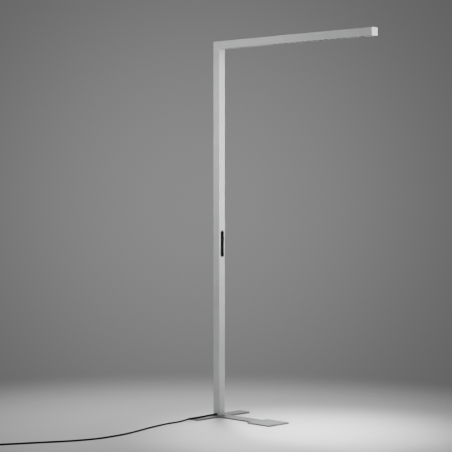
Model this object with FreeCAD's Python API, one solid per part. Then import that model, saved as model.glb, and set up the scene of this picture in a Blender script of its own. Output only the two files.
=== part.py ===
import FreeCAD
import Part
import math
import os

from FreeCAD import Vector

# Office floor lamp: a square post on a flat T-shaped foot, carrying a slim arm with light below
# and above it. All sizes are millimetres. The origin is on the post's axis at the floor, +X
# points along the arm, +Z up, and the mains cord leaves the post towards -Y.

# Whole lamp
OVERALL_HEIGHT = 1950.0
ARM_REACH = 1022.0

# Post: a closed aluminium extrusion with two carrier rails inside
POST_DEPTH = 45.0
POST_WIDTH = 40.0
POST_WALL = 2.5
POST_EDGE_R = 1.5
RAIL_X = -16.0
RAIL_THICK = 1.2
RAIL_HEIGHT = 3.0
TOP_CAP_T = 2.5
CAP_COLLAR_H = 6.0
CAP_COLLAR_WALL = 1.5

# Foot: one plate of steel on round pads
FOOT_T = 8.0
PAD_PROUD = 0.6
PAD_SEAT = 2.4
PAD_R = 14.0
CENTRE_PAD_R = 28.0
CROSSBAR_WIDTH = 75.0
CROSSBAR_LENGTH = 385.0
LEG_WIDTH = 75.0
END_PLATE_SIZE = 150.0
END_PLATE_CENTRE = 351.0
FOOT_CORNER_R = 3.0
FOOT_CHAMFER = 0.5
PAD_INSET = 24.0

# Block that joins post and foot
SPIGOT_H = 90.0
SPIGOT_GAP = 0.3
FOOT_SCREW_X = 12.5
FOOT_SCREW_Y = 9.0
FOOT_SCREW_R = 4.0
FOOT_SCREW_REACH = 16.0
LOCK_SCREW_R = 3.0
LOCK_SCREW_LENGTH = 12.0
LOCK_SCREW_HEIGHTS = (30.0, 65.0)
LEAD_CHANNEL_HALF = 6.5
LEAD_CHANNEL_DEPTH = 16.0
CLAMP_HEIGHT = 47.0
CLAMP_SIZE = 13.6
CLAMP_HALF = 12.4
CLAMP_T = 3.7
CLAMP_SCREW_X = 9.0
CLAMP_SCREW_R = 1.5

# Arm: an H-shaped aluminium extrusion, open below and above
ARM_WIDTH = 40.0
ARM_HEIGHT = 39.0
ARM_WALL = 2.0
ARM_EDGE_R = 1.0
WEB_T = 2.5
LOWER_CHAMBER = 20.0
SHELF = 1.2
END_CAP_T = 4.0
CAP_PEG_LENGTH = 14.0
CAP_PEG_T = 3.0
LOWER_COVER_T = 1.5
UPPER_COVER_T = 2.0
COVER_GAP = 0.2
DIFFUSER_LEG = 5.0
DIFFUSER_LEG_T = 1.4
CLIP_T = 0.6
CLIP_LENGTH = 12.0

# Reflector cells under the arm
CELL_COUNT = 16
CELL_PITCH = 38.2
TIP_PLAIN = 57.8
CELL_OPENING = 30.0
CELL_THROAT = 9.0
CELL_ROUNDING = 0.27
CELL_WALL = 1.2
CELL_RINGS = 3
FLANGE_T = 1.2

# Light boards
BOARD_T = 1.6
BOARD_WIDTH = 31.0
DOWN_LED_SIZE = 3.5
UP_LED_SIZE = 3.0
LED_T = 0.7
UP_LED_COUNT = 24
UP_LED_PITCH = 25.0
CONNECTOR_LENGTH = 14.0
CONNECTOR_WIDTH = 10.0
CONNECTOR_H = 8.0

# Bracket inside the corner
BRACKET_W = 28.0
BRACKET_T = 6.0
BRACKET_DROP = 125.0
BRACKET_REACH = 150.0
BRACKET_SCREW_R = 2.5
BRACKET_SCREW_PITCH = 40.0
ARM_SCREW_Y = 8.5
CABLE_SLOT_HALF = 4.5

# Control panel in the post's front face
CONTROL_HEIGHT = 900.0
PANEL_LENGTH = 140.0
PANEL_WIDTH = 24.0
PANEL_T = 1.2
WINDOW_RIM = 1.2
SNAP_GAP = 0.1
NECK_WALL = 2.3
KEY_GAP = 0.3
KEY_SPLIT = 42.0
KEY_SLOT = 0.8
KEY_PROUD = 0.3
KEY_FLANGE_T = 1.0
KEY_LIP = 0.9
KEY_STOP_GAP = 0.2
KEY_TRAVEL = 0.8
KEY_STEM_R = 2.5
STEM_FIT = 0.08
STEM_ENTRY = 1.0
CASE_WALL = 1.2
CASE_DEPTH = 12.0
SWITCH_SIZE = 8.0
SWITCH_H = 3.6
CONTROL_BOARD_GAP = 3.2
CONTROL_SCREW_R = 1.25
CONTROL_SCREW_Z = 30.0
SNAP_LUG = 1.4

# Electrical parts in the post
CARRIER_T = 1.5
CARRIER_LENGTH = 400.0
TERMINAL_OFFSET = 45.0
TERMINAL_H = 25.0
DRIVER_OFFSET = 90.0
DRIVER_LENGTH = 280.0
DRIVER_DEPTH = 21.0
DRIVER_WIDTH = 28.0
LUG_LENGTH = 8.0
ARM_CABLE_R = 2.5
ARM_CABLE_X = -4.0
ARM_CABLE_BEND = 14.0
CONTROL_CABLE_R = 1.8
CONTROL_CABLE_X = -1.0
CONTROL_CABLE_Y = -7.0
CONTROL_CABLE_BEND = 5.5
CORE_R = 1.3
CORE_FIT = 0.7
CORE_SEAT = 3.0
CORE_SPACING = 7.5
LEAD_R = 3.2
LEAD_Y = -6.0
LEAD_BEND = 7.0
CABLE_CLIP_COUNT = 4
CABLE_CLIP_H = 12.0
CABLE_CLIP_T = 1.2
CABLE_CLIP_RING_R = 4.4
CABLE_CLIP_FIT = 0.1
CABLE_CLIP_FIRST = 120.0
CABLE_CLIP_LAST = 60.0

# Mains cord
CORD_D = 8.0
CORD_LIFT = 0.2
GLAND_Z = 14.0
GLAND_R = 5.2
GLAND_TIP_R = 4.5
GLAND_LENGTH = 26.0
GLAND_SEAT = 0.2
COIL_MEAN_R = 47.0
COIL_TURNS = 5
COIL_PITCH = 8.7
PLUG_R = 19.0
PLUG_BACK_R = 21.0
PLUG_BACK_H = 15.0
PLUG_H = 31.0
PLUG_COLLAR = 40.0
PLUG_COLLAR_R = 6.6
PIN_R = 2.4
PIN_LENGTH = 19.0
PIN_SPACING = 19.0
EARTH_CLIP_W = 6.0

# Free stretch of the cord from the gland to the coil, as points on its route: over the
# crossbar, down to the floor and away in one long bend.
PLATE_TOP = PAD_PROUD + FOOT_T
ON_PLATE = PLATE_TOP + CORD_D / 2 + 0.3
ON_FLOOR = CORD_D / 2 + CORD_LIFT
CORD_POINTS = [
    (0.0, -POST_WIDTH / 2 - GLAND_LENGTH, GLAND_Z),
    (0.0, -80.0, GLAND_Z),
    (7.0, -125.0, ON_PLATE),
    (13.0, -176.0, ON_PLATE),
    (12.0, -224.0, ON_PLATE),
    (4.0, -286.0, ON_FLOOR),
    (3.0, -350.0, ON_FLOOR),
    (17.0, -437.0, ON_FLOOR),
    (42.0, -540.0, ON_FLOOR),
    (74.0, -640.0, ON_FLOOR),
    (97.0, -735.0, ON_FLOOR),
    (105.0, -825.0, ON_FLOOR),
    (105.0, -905.0, ON_FLOOR),
    (88.0, -978.0, ON_FLOOR),
    (55.0, -1062.0, ON_FLOOR),
    (9.0, -1147.0, ON_FLOOR),
    (-36.0, -1234.0, ON_FLOOR),
    (-77.0, -1310.0, ON_FLOOR),
]
COIL_HEADING = math.radians(245.0)
COIL_ENTRY = (-128.0, -1420.0)

# Places that follow from the sizes above
FACE_X = POST_DEPTH / 2
REAR_X = -POST_DEPTH / 2
SIDE_Y = POST_WIDTH / 2
BORE_X = FACE_X - POST_WALL
BORE_Y = SIDE_Y - POST_WALL
RAIL_SLOT = CARRIER_T + 0.4
ARM_BOTTOM = OVERALL_HEIGHT - ARM_HEIGHT
ARM_END = FACE_X + ARM_REACH - END_CAP_T
ARM_IN_Y = ARM_WIDTH / 2 - ARM_WALL
WEB_LOW = ARM_BOTTOM + LOWER_CHAMBER
WEB_HIGH = WEB_LOW + WEB_T
LIGHT_END = FACE_X + ARM_REACH - TIP_PLAIN
LIGHT_START = LIGHT_END - CELL_COUNT * CELL_PITCH
SPIGOT_TOP = PLATE_TOP + SPIGOT_H
TERMINAL_LOW = SPIGOT_TOP + TERMINAL_OFFSET
DRIVER_LOW = SPIGOT_TOP + DRIVER_OFFSET
DRIVER_TOP = DRIVER_LOW + DRIVER_LENGTH
CARRIER_FRONT = RAIL_X + CARRIER_T / 2
WINDOW_LENGTH = PANEL_LENGTH - 2 * WINDOW_RIM
WINDOW_WIDTH = PANEL_WIDTH - 2 * WINDOW_RIM
NECK_LENGTH = WINDOW_LENGTH - 2 * COVER_GAP
NECK_WIDTH = WINDOW_WIDTH - 2 * COVER_GAP
NECK_BACK = BORE_X - SNAP_GAP
KEY_BACK = NECK_BACK - KEY_STOP_GAP - KEY_FLANGE_T
CONTROL_BOARD_FRONT = KEY_BACK - CONTROL_BOARD_GAP - SWITCH_H
CASE_BACK = NECK_BACK - CASE_DEPTH


def box(x, y, z):
    """A block between two X, two Y and two Z places."""
    return Part.makeBox(x[1] - x[0], y[1] - y[0], z[1] - z[0], Vector(x[0], y[0], z[0]))


def rod(radius, start, end):
    """A round bar from one point to another."""
    start = Vector(*start)
    run = Vector(*end) - start
    return Part.makeCylinder(radius, run.Length, start, run)


def cone(radius_1, radius_2, start, end):
    start = Vector(*start)
    run = Vector(*end) - start
    return Part.makeCone(radius_1, radius_2, run.Length, start, run)


def outline(points, radius=0.0):
    """A closed wire through points, with each corner rounded to the radius."""
    if radius <= 0:
        return Part.makePolygon([*points, points[0]])
    edges = []
    starts = []
    ends = []
    for k, corner in enumerate(points):
        to_last = (points[k - 1] - corner).normalize()
        to_next = (points[(k + 1) % len(points)] - corner).normalize()
        half = to_last.getAngle(to_next) / 2
        back = radius / math.tan(half)
        centre = corner + (to_last + to_next).normalize() * (radius / math.sin(half))
        starts.append(corner + to_last * back)
        ends.append(corner + to_next * back)
        middle = centre + (corner - centre).normalize() * radius
        edges.append(Part.Arc(starts[-1], middle, ends[-1]).toShape())
    for k in range(len(points)):
        after = starts[(k + 1) % len(points)]
        if (after - ends[k]).Length > 0.001:
            edges.append(Part.LineSegment(ends[k], after).toShape())
    return Part.Wire(Part.__sortEdges__(edges))


def prism(points, run, radius=0.0):
    """A flat outline, with rounded corners if wanted, pushed along a vector."""
    return Part.Face(outline(points, radius)).extrude(Vector(*run))


def stadium(x, length, width, height=0.0):
    """A slab with round ends, upright across X, centred on the control panel."""
    straight = (length - width) / 2
    z = CONTROL_HEIGHT + height
    body = box(x, (-width / 2, width / 2), (z - straight, z + straight))
    for end in (z - straight, z + straight):
        body = body.fuse(rod(width / 2, (x[0], 0, end), (x[1], 0, end)))
    return body.removeSplitter()


def rectangle(half_x, half_y, z):
    """The corners of a rectangle about the post's axis."""
    return [
        Vector(-half_x, -half_y, z),
        Vector(half_x, -half_y, z),
        Vector(half_x, half_y, z),
        Vector(-half_x, half_y, z),
    ]


def across_post(points_yz, x, run, radius=0.0):
    """A section drawn across the arm, in Y and Z, pushed along X."""
    return prism([Vector(x, y, z) for y, z in points_yz], (run, 0, 0), radius)


def mirrored(half_points):
    """A closed section from its +Y half, listed upwards or downwards."""
    return half_points + [(-y, z) for y, z in reversed(half_points)]


# ---------------------------------------------------------------- foot


def foot_corners():
    half_bar = CROSSBAR_WIDTH / 2
    half_long = CROSSBAR_LENGTH / 2
    half_leg = LEG_WIDTH / 2
    half_end = END_PLATE_SIZE / 2
    near = END_PLATE_CENTRE - half_end
    far = END_PLATE_CENTRE + half_end
    right = [
        (half_bar, half_long),
        (half_bar, half_leg),
        (near, half_leg),
        (near, half_end),
        (far, half_end),
    ]
    left = [(x, -y) for x, y in reversed(right)]
    return [(-half_bar, -half_long), (-half_bar, half_long)] + right + left


def pad_places():
    """Centre of each small pad: crossbar ends, then the corners of the end plate."""
    bar_end = CROSSBAR_LENGTH / 2 - PAD_INSET
    plate_end = END_PLATE_SIZE / 2 - PAD_INSET
    places = [(0.0, bar_end), (0.0, -bar_end)]
    for x in (END_PLATE_CENTRE - plate_end, END_PLATE_CENTRE + plate_end):
        places += [(x, plate_end), (x, -plate_end)]
    return places


def foot_screw_places():
    return [(x, y) for x in (-FOOT_SCREW_X, FOOT_SCREW_X) for y in (-FOOT_SCREW_Y, FOOT_SCREW_Y)]


def countersink(radius, gap=0.0):
    """Height and wide radius of a countersunk head on a shank of this radius."""
    return radius * 0.95 + gap, radius * 1.95 + gap


def foot_plate():
    plate = prism([Vector(x, y, PAD_PROUD) for x, y in foot_corners()], (0, 0, FOOT_T), FOOT_CORNER_R)
    rim = [e for e in plate.Edges if e.BoundBox.ZMin > PLATE_TOP - 0.01]
    plate = plate.makeChamfer(FOOT_CHAMFER, rim)
    seat_top = PAD_PROUD + PAD_SEAT
    cuts = [rod(PAD_R + COVER_GAP, (x, y, 0), (x, y, seat_top)) for x, y in pad_places()]
    cuts.append(rod(CENTRE_PAD_R + COVER_GAP, (0, 0, 0), (0, 0, seat_top)))
    sink, wide = countersink(FOOT_SCREW_R, COVER_GAP)
    for x, y in foot_screw_places():
        cuts.append(cone(wide, FOOT_SCREW_R + COVER_GAP, (x, y, seat_top), (x, y, seat_top + sink)))
        cuts.append(rod(FOOT_SCREW_R + COVER_GAP, (x, y, seat_top), (x, y, PLATE_TOP + 1)))
    return plate.cut(Part.makeCompound(cuts))


def foot_pads():
    top = PAD_PROUD + PAD_SEAT
    pads = [rod(PAD_R, (x, y, 0), (x, y, top)) for x, y in pad_places()]
    return Part.makeCompound([rod(CENTRE_PAD_R, (0, 0, 0), (0, 0, top)), *pads])


def hex_socket(radius, start, depth, direction):
    """The hexagonal key hole in a screw's head."""
    across = Vector(*direction)
    side = across.cross(Vector(0, 0, 1) if abs(across.z) < 0.5 else Vector(1, 0, 0)).normalize()
    start = Vector(*start)
    corners = []
    for k in range(6):
        turn = FreeCAD.Rotation(across, 60.0 * k)
        corners.append(start + turn.multVec(side) * radius)
    return prism(corners, tuple(across * depth))


def foot_screws():
    screws = []
    low = PAD_PROUD + PAD_SEAT
    sink, wide = countersink(FOOT_SCREW_R)
    for x, y in foot_screw_places():
        body = cone(wide, FOOT_SCREW_R, (x, y, low), (x, y, low + sink))
        body = body.fuse(rod(FOOT_SCREW_R, (x, y, low + sink), (x, y, PLATE_TOP + FOOT_SCREW_REACH)))
        screws.append(body.cut(hex_socket(FOOT_SCREW_R * 0.6, (x, y, low), sink, (0, 0, 1))))
    return Part.makeCompound(screws)


# ---------------------------------------------------------------- post


def rail_cut(side, gap):
    """X places and Y place of the pair of carrier rails, with a gap all round."""
    reach = RAIL_SLOT / 2 + RAIL_THICK + gap
    inner = BORE_Y - RAIL_HEIGHT - gap
    return (RAIL_X - reach, RAIL_X + reach), (inner, BORE_Y) if side > 0 else (-BORE_Y, -inner)


def post_bore_half():
    """Half of the post's bore, as X and Y points along the +Y wall with its two rails."""
    points = [(BORE_X, BORE_Y)]
    for slot_side in (1, -1):
        inner = RAIL_X + slot_side * RAIL_SLOT / 2
        outer = RAIL_X + slot_side * (RAIL_SLOT / 2 + RAIL_THICK)
        pair = (outer, inner) if slot_side > 0 else (inner, outer)
        points += [
            (pair[0], BORE_Y),
            (pair[0], BORE_Y - RAIL_HEIGHT),
            (pair[1], BORE_Y - RAIL_HEIGHT),
            (pair[1], BORE_Y),
        ]
    return points + [(-BORE_X, BORE_Y)]


def bracket_post_screw_heights():
    return [WEB_LOW - BRACKET_SCREW_PITCH * (k + 0.6) for k in range(3)]


def gland_notch(half_width, x_gap=0.0):
    """The upright slot with a round top that the gland's neck fills in the post's wall."""
    half = half_width + x_gap
    y = (-SIDE_Y - 1, -BORE_Y + 0.5) if x_gap else (-SIDE_Y, -BORE_Y)
    low = PLATE_TOP - 1 if x_gap else PLATE_TOP + GLAND_SEAT
    slot = box((-half, half), y, (low, GLAND_Z))
    return slot.fuse(rod(half, (0, y[0], GLAND_Z), (0, y[1], GLAND_Z))).removeSplitter()


def post_profile():
    top = OVERALL_HEIGHT - TOP_CAP_T
    height = top - PLATE_TOP
    tube = prism(rectangle(FACE_X, SIDE_Y, PLATE_TOP), (0, 0, height), POST_EDGE_R)
    half = post_bore_half()
    bore = [Vector(x, y, PLATE_TOP - 1) for x, y in half + [(x, -y) for x, y in reversed(half)]]
    cuts = [prism(bore, (0, 0, height + 2))]
    cuts.append(gland_notch(GLAND_R, COVER_GAP))
    cuts.append(stadium((BORE_X - 1, FACE_X + 1), WINDOW_LENGTH, WINDOW_WIDTH))
    window_low = WEB_LOW - BRACKET_T - 1
    window_high = WEB_HIGH + 2 * ARM_CABLE_R + 3
    window_half = BRACKET_W / 2 + 0.5
    cuts.append(box((BORE_X - 1, FACE_X + 1), (-window_half, window_half), (window_low, window_high)))
    for height in LOCK_SCREW_HEIGHTS:
        z = PLATE_TOP + height
        cuts.append(rod(LOCK_SCREW_R + COVER_GAP, (REAR_X - 1, 0, z), (-BORE_X + 1, 0, z)))
    sink, wide = countersink(BRACKET_SCREW_R, COVER_GAP)
    for z in bracket_post_screw_heights():
        cuts.append(cone(wide, BRACKET_SCREW_R + COVER_GAP, (REAR_X, 0, z), (REAR_X + sink, 0, z)))
        cuts.append(rod(BRACKET_SCREW_R + COVER_GAP, (REAR_X, 0, z), (-BORE_X + 1, 0, z)))
    return tube.cut(Part.makeCompound(cuts))


def post_top_cap():
    low = OVERALL_HEIGHT - TOP_CAP_T
    cap = prism(rectangle(FACE_X, SIDE_Y, low), (0, 0, TOP_CAP_T), POST_EDGE_R)
    half_x = BORE_X - SPIGOT_GAP
    half_y = BORE_Y - RAIL_HEIGHT - SPIGOT_GAP
    collar = prism(rectangle(half_x, half_y, low - CAP_COLLAR_H), (0, 0, CAP_COLLAR_H))
    hollow = rectangle(half_x - CAP_COLLAR_WALL, half_y - CAP_COLLAR_WALL, low - CAP_COLLAR_H)
    return cap.fuse(collar.cut(prism(hollow, (0, 0, CAP_COLLAR_H)))).removeSplitter()


def post_spigot():
    half_x = BORE_X - SPIGOT_GAP
    half_y = BORE_Y - SPIGOT_GAP
    block = prism(rectangle(half_x, half_y, PLATE_TOP), (0, 0, SPIGOT_H))
    tall = (PLATE_TOP - 1, SPIGOT_TOP + 1)
    cuts = []
    for side in (1, -1):
        x, y = rail_cut(side, SPIGOT_GAP)
        cuts.append(box(x, y, tall))
    channel_floor = -half_y + LEAD_CHANNEL_DEPTH
    cuts.append(box((-LEAD_CHANNEL_HALF, LEAD_CHANNEL_HALF), (-half_y - 1, channel_floor), tall))
    z = PLATE_TOP + CLAMP_HEIGHT
    recess_z = (z - CLAMP_SIZE / 2 - COVER_GAP, z + CLAMP_SIZE / 2 + COVER_GAP)
    recess_x = (-CLAMP_HALF - COVER_GAP, CLAMP_HALF + COVER_GAP)
    cuts.append(box(recess_x, (-half_y - 1, -half_y + CLAMP_T), recess_z))
    for x in (-CLAMP_SCREW_X, CLAMP_SCREW_X):
        cuts.append(rod(CLAMP_SCREW_R + 0.05, (x, -half_y, z), (x, -half_y + 11, z)))
    for x, y in foot_screw_places():
        cuts.append(rod(FOOT_SCREW_R + 0.05, (x, y, PLATE_TOP - 1), (x, y, PLATE_TOP + FOOT_SCREW_REACH + 1)))
    for height in LOCK_SCREW_HEIGHTS:
        z = PLATE_TOP + height
        cuts.append(rod(LOCK_SCREW_R + 0.05, (-half_x - 1, 0, z), (REAR_X + LOCK_SCREW_LENGTH + 1, 0, z)))
    tab_screw = carrier_screw_place()
    cuts.append(rod(2.05, (*tab_screw, SPIGOT_TOP - 9), (*tab_screw, SPIGOT_TOP + 1)))
    return block.cut(Part.makeCompound(cuts))


def post_lock_screws():
    screws = []
    for height in LOCK_SCREW_HEIGHTS:
        z = PLATE_TOP + height
        start = (REAR_X + 0.2, 0, z)
        body = rod(LOCK_SCREW_R, start, (REAR_X + LOCK_SCREW_LENGTH, 0, z))
        screws.append(body.cut(hex_socket(LOCK_SCREW_R * 0.55, start, 3, (1, 0, 0))))
    return Part.makeCompound(screws)


# ---------------------------------------------------------------- mains entry


def cord_gland():
    """Moulded relief: ribbed tapered sleeve, neck in the wall's slot, and collar inside."""
    notch = gland_notch(GLAND_R)
    collar_half = LEAD_CHANNEL_HALF - COVER_GAP
    inner_y = -BORE_Y + COVER_GAP
    collar_z = (PLATE_TOP + GLAND_SEAT, GLAND_Z + collar_half)
    collar = box((-collar_half, collar_half), (inner_y, inner_y + 1.7), collar_z)
    stub = rod(GLAND_R - 0.2, (0, -BORE_Y, GLAND_Z), (0, inner_y, GLAND_Z))
    sleeve = cone(GLAND_R, GLAND_TIP_R, (0, -SIDE_Y, GLAND_Z), (0, -SIDE_Y - GLAND_LENGTH, GLAND_Z))
    for k in range(4):
        y = -SIDE_Y - 5.0 - 4.5 * k
        ring = rod(GLAND_R + 1, (0, y, GLAND_Z), (0, y - 1.6, GLAND_Z))
        sleeve = sleeve.cut(ring.cut(rod(GLAND_TIP_R - 0.5, (0, y, GLAND_Z), (0, y - 1.6, GLAND_Z))))
    return notch.fuse([collar, stub, sleeve]).removeSplitter()


def gland_inner_y():
    return -BORE_Y + COVER_GAP + 1.7


def cord_clamp():
    half_y = BORE_Y - SPIGOT_GAP
    z = PLATE_TOP + CLAMP_HEIGHT
    zs = (z - CLAMP_SIZE / 2, z + CLAMP_SIZE / 2)
    plate = box((-CLAMP_HALF, CLAMP_HALF), (-half_y, -half_y + CLAMP_T), zs)
    nose_half = LEAD_CHANNEL_HALF - SPIGOT_GAP
    nose = box((-nose_half, nose_half), (-half_y, LEAD_Y - LEAD_R - 0.1), zs)
    bar = plate.fuse(nose).removeSplitter()
    for x in (-CLAMP_SCREW_X, CLAMP_SCREW_X):
        bar = bar.cut(rod(CLAMP_SCREW_R * 1.6 + COVER_GAP, (x, -half_y, z), (x, -half_y + 1.9, z)))
        bar = bar.cut(rod(CLAMP_SCREW_R + COVER_GAP, (x, -half_y, z), (x, -half_y + CLAMP_T, z)))
    return bar


def clamp_screws():
    half_y = BORE_Y - SPIGOT_GAP
    z = PLATE_TOP + CLAMP_HEIGHT
    screws = []
    for x in (-CLAMP_SCREW_X, CLAMP_SCREW_X):
        head = rod(CLAMP_SCREW_R * 1.6, (x, -half_y + 0.2, z), (x, -half_y + 1.9, z))
        shank = rod(CLAMP_SCREW_R, (x, -half_y + 1.9, z), (x, -half_y + 10, z))
        body = head.fuse(shank)
        screws.append(body.cut(hex_socket(CLAMP_SCREW_R * 0.8, (x, -half_y + 0.2, z), 1.2, (0, 1, 0))))
    return Part.makeCompound(screws)


def run_of(points, radius):
    """Straight runs joined by tangent arcs of one radius, or one radius per corner."""
    places = [Vector(*p) for p in points]
    radii = radius if isinstance(radius, list) else [radius] * (len(places) - 2)
    edges = []
    last = places[0]
    for k, bend in enumerate(radii):
        before, corner, after = places[k : k + 3]
        to_last = (before - corner).normalize()
        to_next = (after - corner).normalize()
        half_turn = (math.pi - to_last.getAngle(to_next)) / 2
        back = bend * math.tan(half_turn)
        start = corner + to_last * back
        end = corner + to_next * back
        inward = (to_last + to_next).normalize()
        middle = corner + inward * (bend / math.cos(half_turn) - bend)
        edges.append(Part.LineSegment(last, start).toShape())
        edges.append(Part.Arc(start, middle, end).toShape())
        last = end
    edges.append(Part.LineSegment(last, places[-1]).toShape())
    return Part.Wire(edges)


def tube(path, radius):
    """A round tube of this radius along a path, closed at both ends."""
    first = path.OrderedEdges[0]
    start = first.valueAt(first.FirstParameter)
    along = first.tangentAt(first.FirstParameter)
    ring = Part.Wire(Part.makeCircle(radius, start, along))
    return path.makePipeShell([ring], True, False)


def inner_mains_lead():
    start_y = gland_inner_y()
    points = [(0, start_y, GLAND_Z), (0, LEAD_Y, GLAND_Z), (0, LEAD_Y, TERMINAL_LOW)]
    return tube(run_of(points, LEAD_BEND), LEAD_R)


# ---------------------------------------------------------------- carrier and driver


def carrier_screw_place():
    return (-4.0, 7.0)


def driver_carrier():
    """Folded sheet that slides between the rails and stands on the spigot by its tab."""
    back = RAIL_X - CARRIER_T / 2
    half = BORE_Y - COVER_GAP
    sheet = box((back, CARRIER_FRONT), (-half, half), (SPIGOT_TOP, SPIGOT_TOP + CARRIER_LENGTH))
    tab = box((CARRIER_FRONT, 2.0), (1.0, 13.0), (SPIGOT_TOP, SPIGOT_TOP + CARRIER_T))
    body = sheet.fuse(tab).removeSplitter()
    body = body.cut(rod(2.2, (*carrier_screw_place(), SPIGOT_TOP - 1), (*carrier_screw_place(), SPIGOT_TOP + 5)))
    for z in driver_screw_heights():
        body = body.cut(rod(1.55, (back - 1, 0, z), (CARRIER_FRONT + 1, 0, z)))
    return body


def carrier_screw():
    x, y = carrier_screw_place()
    low = SPIGOT_TOP + CARRIER_T
    head = rod(3.6, (x, y, low), (x, y, low + 2.4))
    body = head.fuse(rod(2.0, (x, y, low), (x, y, SPIGOT_TOP - 8)))
    return body.cut(hex_socket(1.4, (x, y, low + 2.4), -1.5, (0, 0, 1)))


def driver_screw_heights():
    return [DRIVER_LOW - LUG_LENGTH / 2, DRIVER_TOP + LUG_LENGTH / 2]


def led_driver():
    half = DRIVER_WIDTH / 2
    front = CARRIER_FRONT + DRIVER_DEPTH
    section = [
        Vector(CARRIER_FRONT, -half, DRIVER_LOW),
        Vector(front - 2, -half, DRIVER_LOW),
        Vector(front, -half + 2, DRIVER_LOW),
        Vector(front, half - 2, DRIVER_LOW),
        Vector(front - 2, half, DRIVER_LOW),
        Vector(CARRIER_FRONT, half, DRIVER_LOW),
    ]
    body = prism(section, (0, 0, DRIVER_LENGTH))
    lug_z = (DRIVER_LOW - LUG_LENGTH, DRIVER_TOP + LUG_LENGTH)
    body = body.fuse(box((CARRIER_FRONT, CARRIER_FRONT + 2), (-5, 5), lug_z)).removeSplitter()
    for z in driver_screw_heights():
        body = body.cut(rod(1.8, (CARRIER_FRONT - 1, 0, z), (CARRIER_FRONT + 3, 0, z)))
    return body


def driver_screws():
    screws = []
    for z in driver_screw_heights():
        head_x = CARRIER_FRONT + 2
        body = rod(3.0, (head_x, 0, z), (head_x + 2, 0, z))
        body = body.fuse(rod(1.5, (RAIL_X - CARRIER_T / 2 - 1, 0, z), (head_x, 0, z)))
        screws.append(body.cut(hex_socket(1.2, (head_x + 2, 0, z), -1.2, (1, 0, 0))))
    return Part.makeCompound(screws)


def terminal_block():
    body = box((CARRIER_FRONT, 5.0), (-12, 12), (TERMINAL_LOW, TERMINAL_LOW + TERMINAL_H))
    for y in core_places():
        top = TERMINAL_LOW + TERMINAL_H
        mouth = rod(CORE_R + CORE_FIT, (core_x(), y, top - CORE_SEAT), (core_x(), y, top + 1))
        body = body.cut(mouth)
        body = body.cut(rod(1.8, (3.0, y, TERMINAL_LOW + 12), (6.0, y, TERMINAL_LOW + 12)))
    return body


def core_x():
    return CARRIER_FRONT + DRIVER_DEPTH / 2


def core_places():
    return (-CORE_SPACING, 0.0, CORE_SPACING)


def mains_cores():
    """Live, neutral and earth cores between the terminal block and the driver."""
    low = TERMINAL_LOW + TERMINAL_H - CORE_SEAT
    cores = [rod(CORE_R, (core_x(), y, low), (core_x(), y, DRIVER_LOW)) for y in core_places()]
    return Part.makeCompound(cores)


def arm_cable():
    """Low-voltage cable from the driver's top, up the post and round the corner into the arm."""
    level = WEB_HIGH + ARM_CABLE_R + 0.5
    points = [(ARM_CABLE_X, 0, DRIVER_TOP), (ARM_CABLE_X, 0, level), (connector_x()[0], 0, level)]
    return tube(run_of(points, ARM_CABLE_BEND), ARM_CABLE_R)


def control_cable():
    entry = CONTROL_HEIGHT - PANEL_LENGTH / 2 + 20
    x, y = CONTROL_CABLE_X, CONTROL_CABLE_Y
    points = [(x, y, DRIVER_TOP), (x, y, entry), (CASE_BACK, y, entry)]
    return tube(run_of(points, CONTROL_CABLE_BEND), CONTROL_CABLE_R)


def cable_clips():
    """Crossbars that spring between the rails, each with an open ring for the arm cable."""
    clips = []
    low = DRIVER_TOP + CABLE_CLIP_FIRST
    step = (WEB_LOW - BRACKET_DROP - CABLE_CLIP_LAST - low) / (CABLE_CLIP_COUNT - 1)
    half = BORE_Y - SPIGOT_GAP
    bar_x = (RAIL_X - CABLE_CLIP_T / 2, RAIL_X + CABLE_CLIP_T / 2)
    ring_y = (-CABLE_CLIP_RING_R, CABLE_CLIP_RING_R)
    for k in range(CABLE_CLIP_COUNT):
        z = low + step * k
        zs = (z, z + CABLE_CLIP_H)
        ends = ((ARM_CABLE_X, 0, zs[0]), (ARM_CABLE_X, 0, zs[1]))
        bar = box(bar_x, (-half, half), zs)
        ring = box((bar_x[1], ARM_CABLE_X), ring_y, zs).fuse(rod(CABLE_CLIP_RING_R, *ends))
        ring = ring.cut(rod(ARM_CABLE_R + CABLE_CLIP_FIT, *ends))
        mouth_half = ARM_CABLE_R * 0.64
        mouth = box((ARM_CABLE_X, ARM_CABLE_X + 2 * CABLE_CLIP_RING_R), (-mouth_half, mouth_half), zs)
        clips.append(bar.fuse(ring.cut(mouth)).removeSplitter())
    return Part.makeCompound(clips)


# ---------------------------------------------------------------- control panel


def control_frame():
    """Stadium frame: a thin rim on the post's face and a neck through its wall."""
    rim = stadium((FACE_X, FACE_X + PANEL_T), PANEL_LENGTH, PANEL_WIDTH)
    edge = [e for e in rim.Edges if e.BoundBox.XMin > FACE_X + PANEL_T - 0.01]
    rim = rim.makeFillet(PANEL_T * 0.45, edge)
    neck = stadium((NECK_BACK, FACE_X), NECK_LENGTH, NECK_WIDTH)
    opening = stadium(
        (NECK_BACK - 1, FACE_X + PANEL_T + 1),
        NECK_LENGTH - 2 * NECK_WALL,
        NECK_WIDTH - 2 * NECK_WALL,
    )
    return rim.fuse(neck).removeSplitter().cut(opening)


def key_heights():
    """Middle of each key's switch, measured from the panel's middle."""
    outer = (KEY_SPLIT / 2 + (NECK_LENGTH / 2 - NECK_WALL)) / 2
    return {"key_brighter": outer, "key_power": 0.0, "key_dimmer": -outer}


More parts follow.
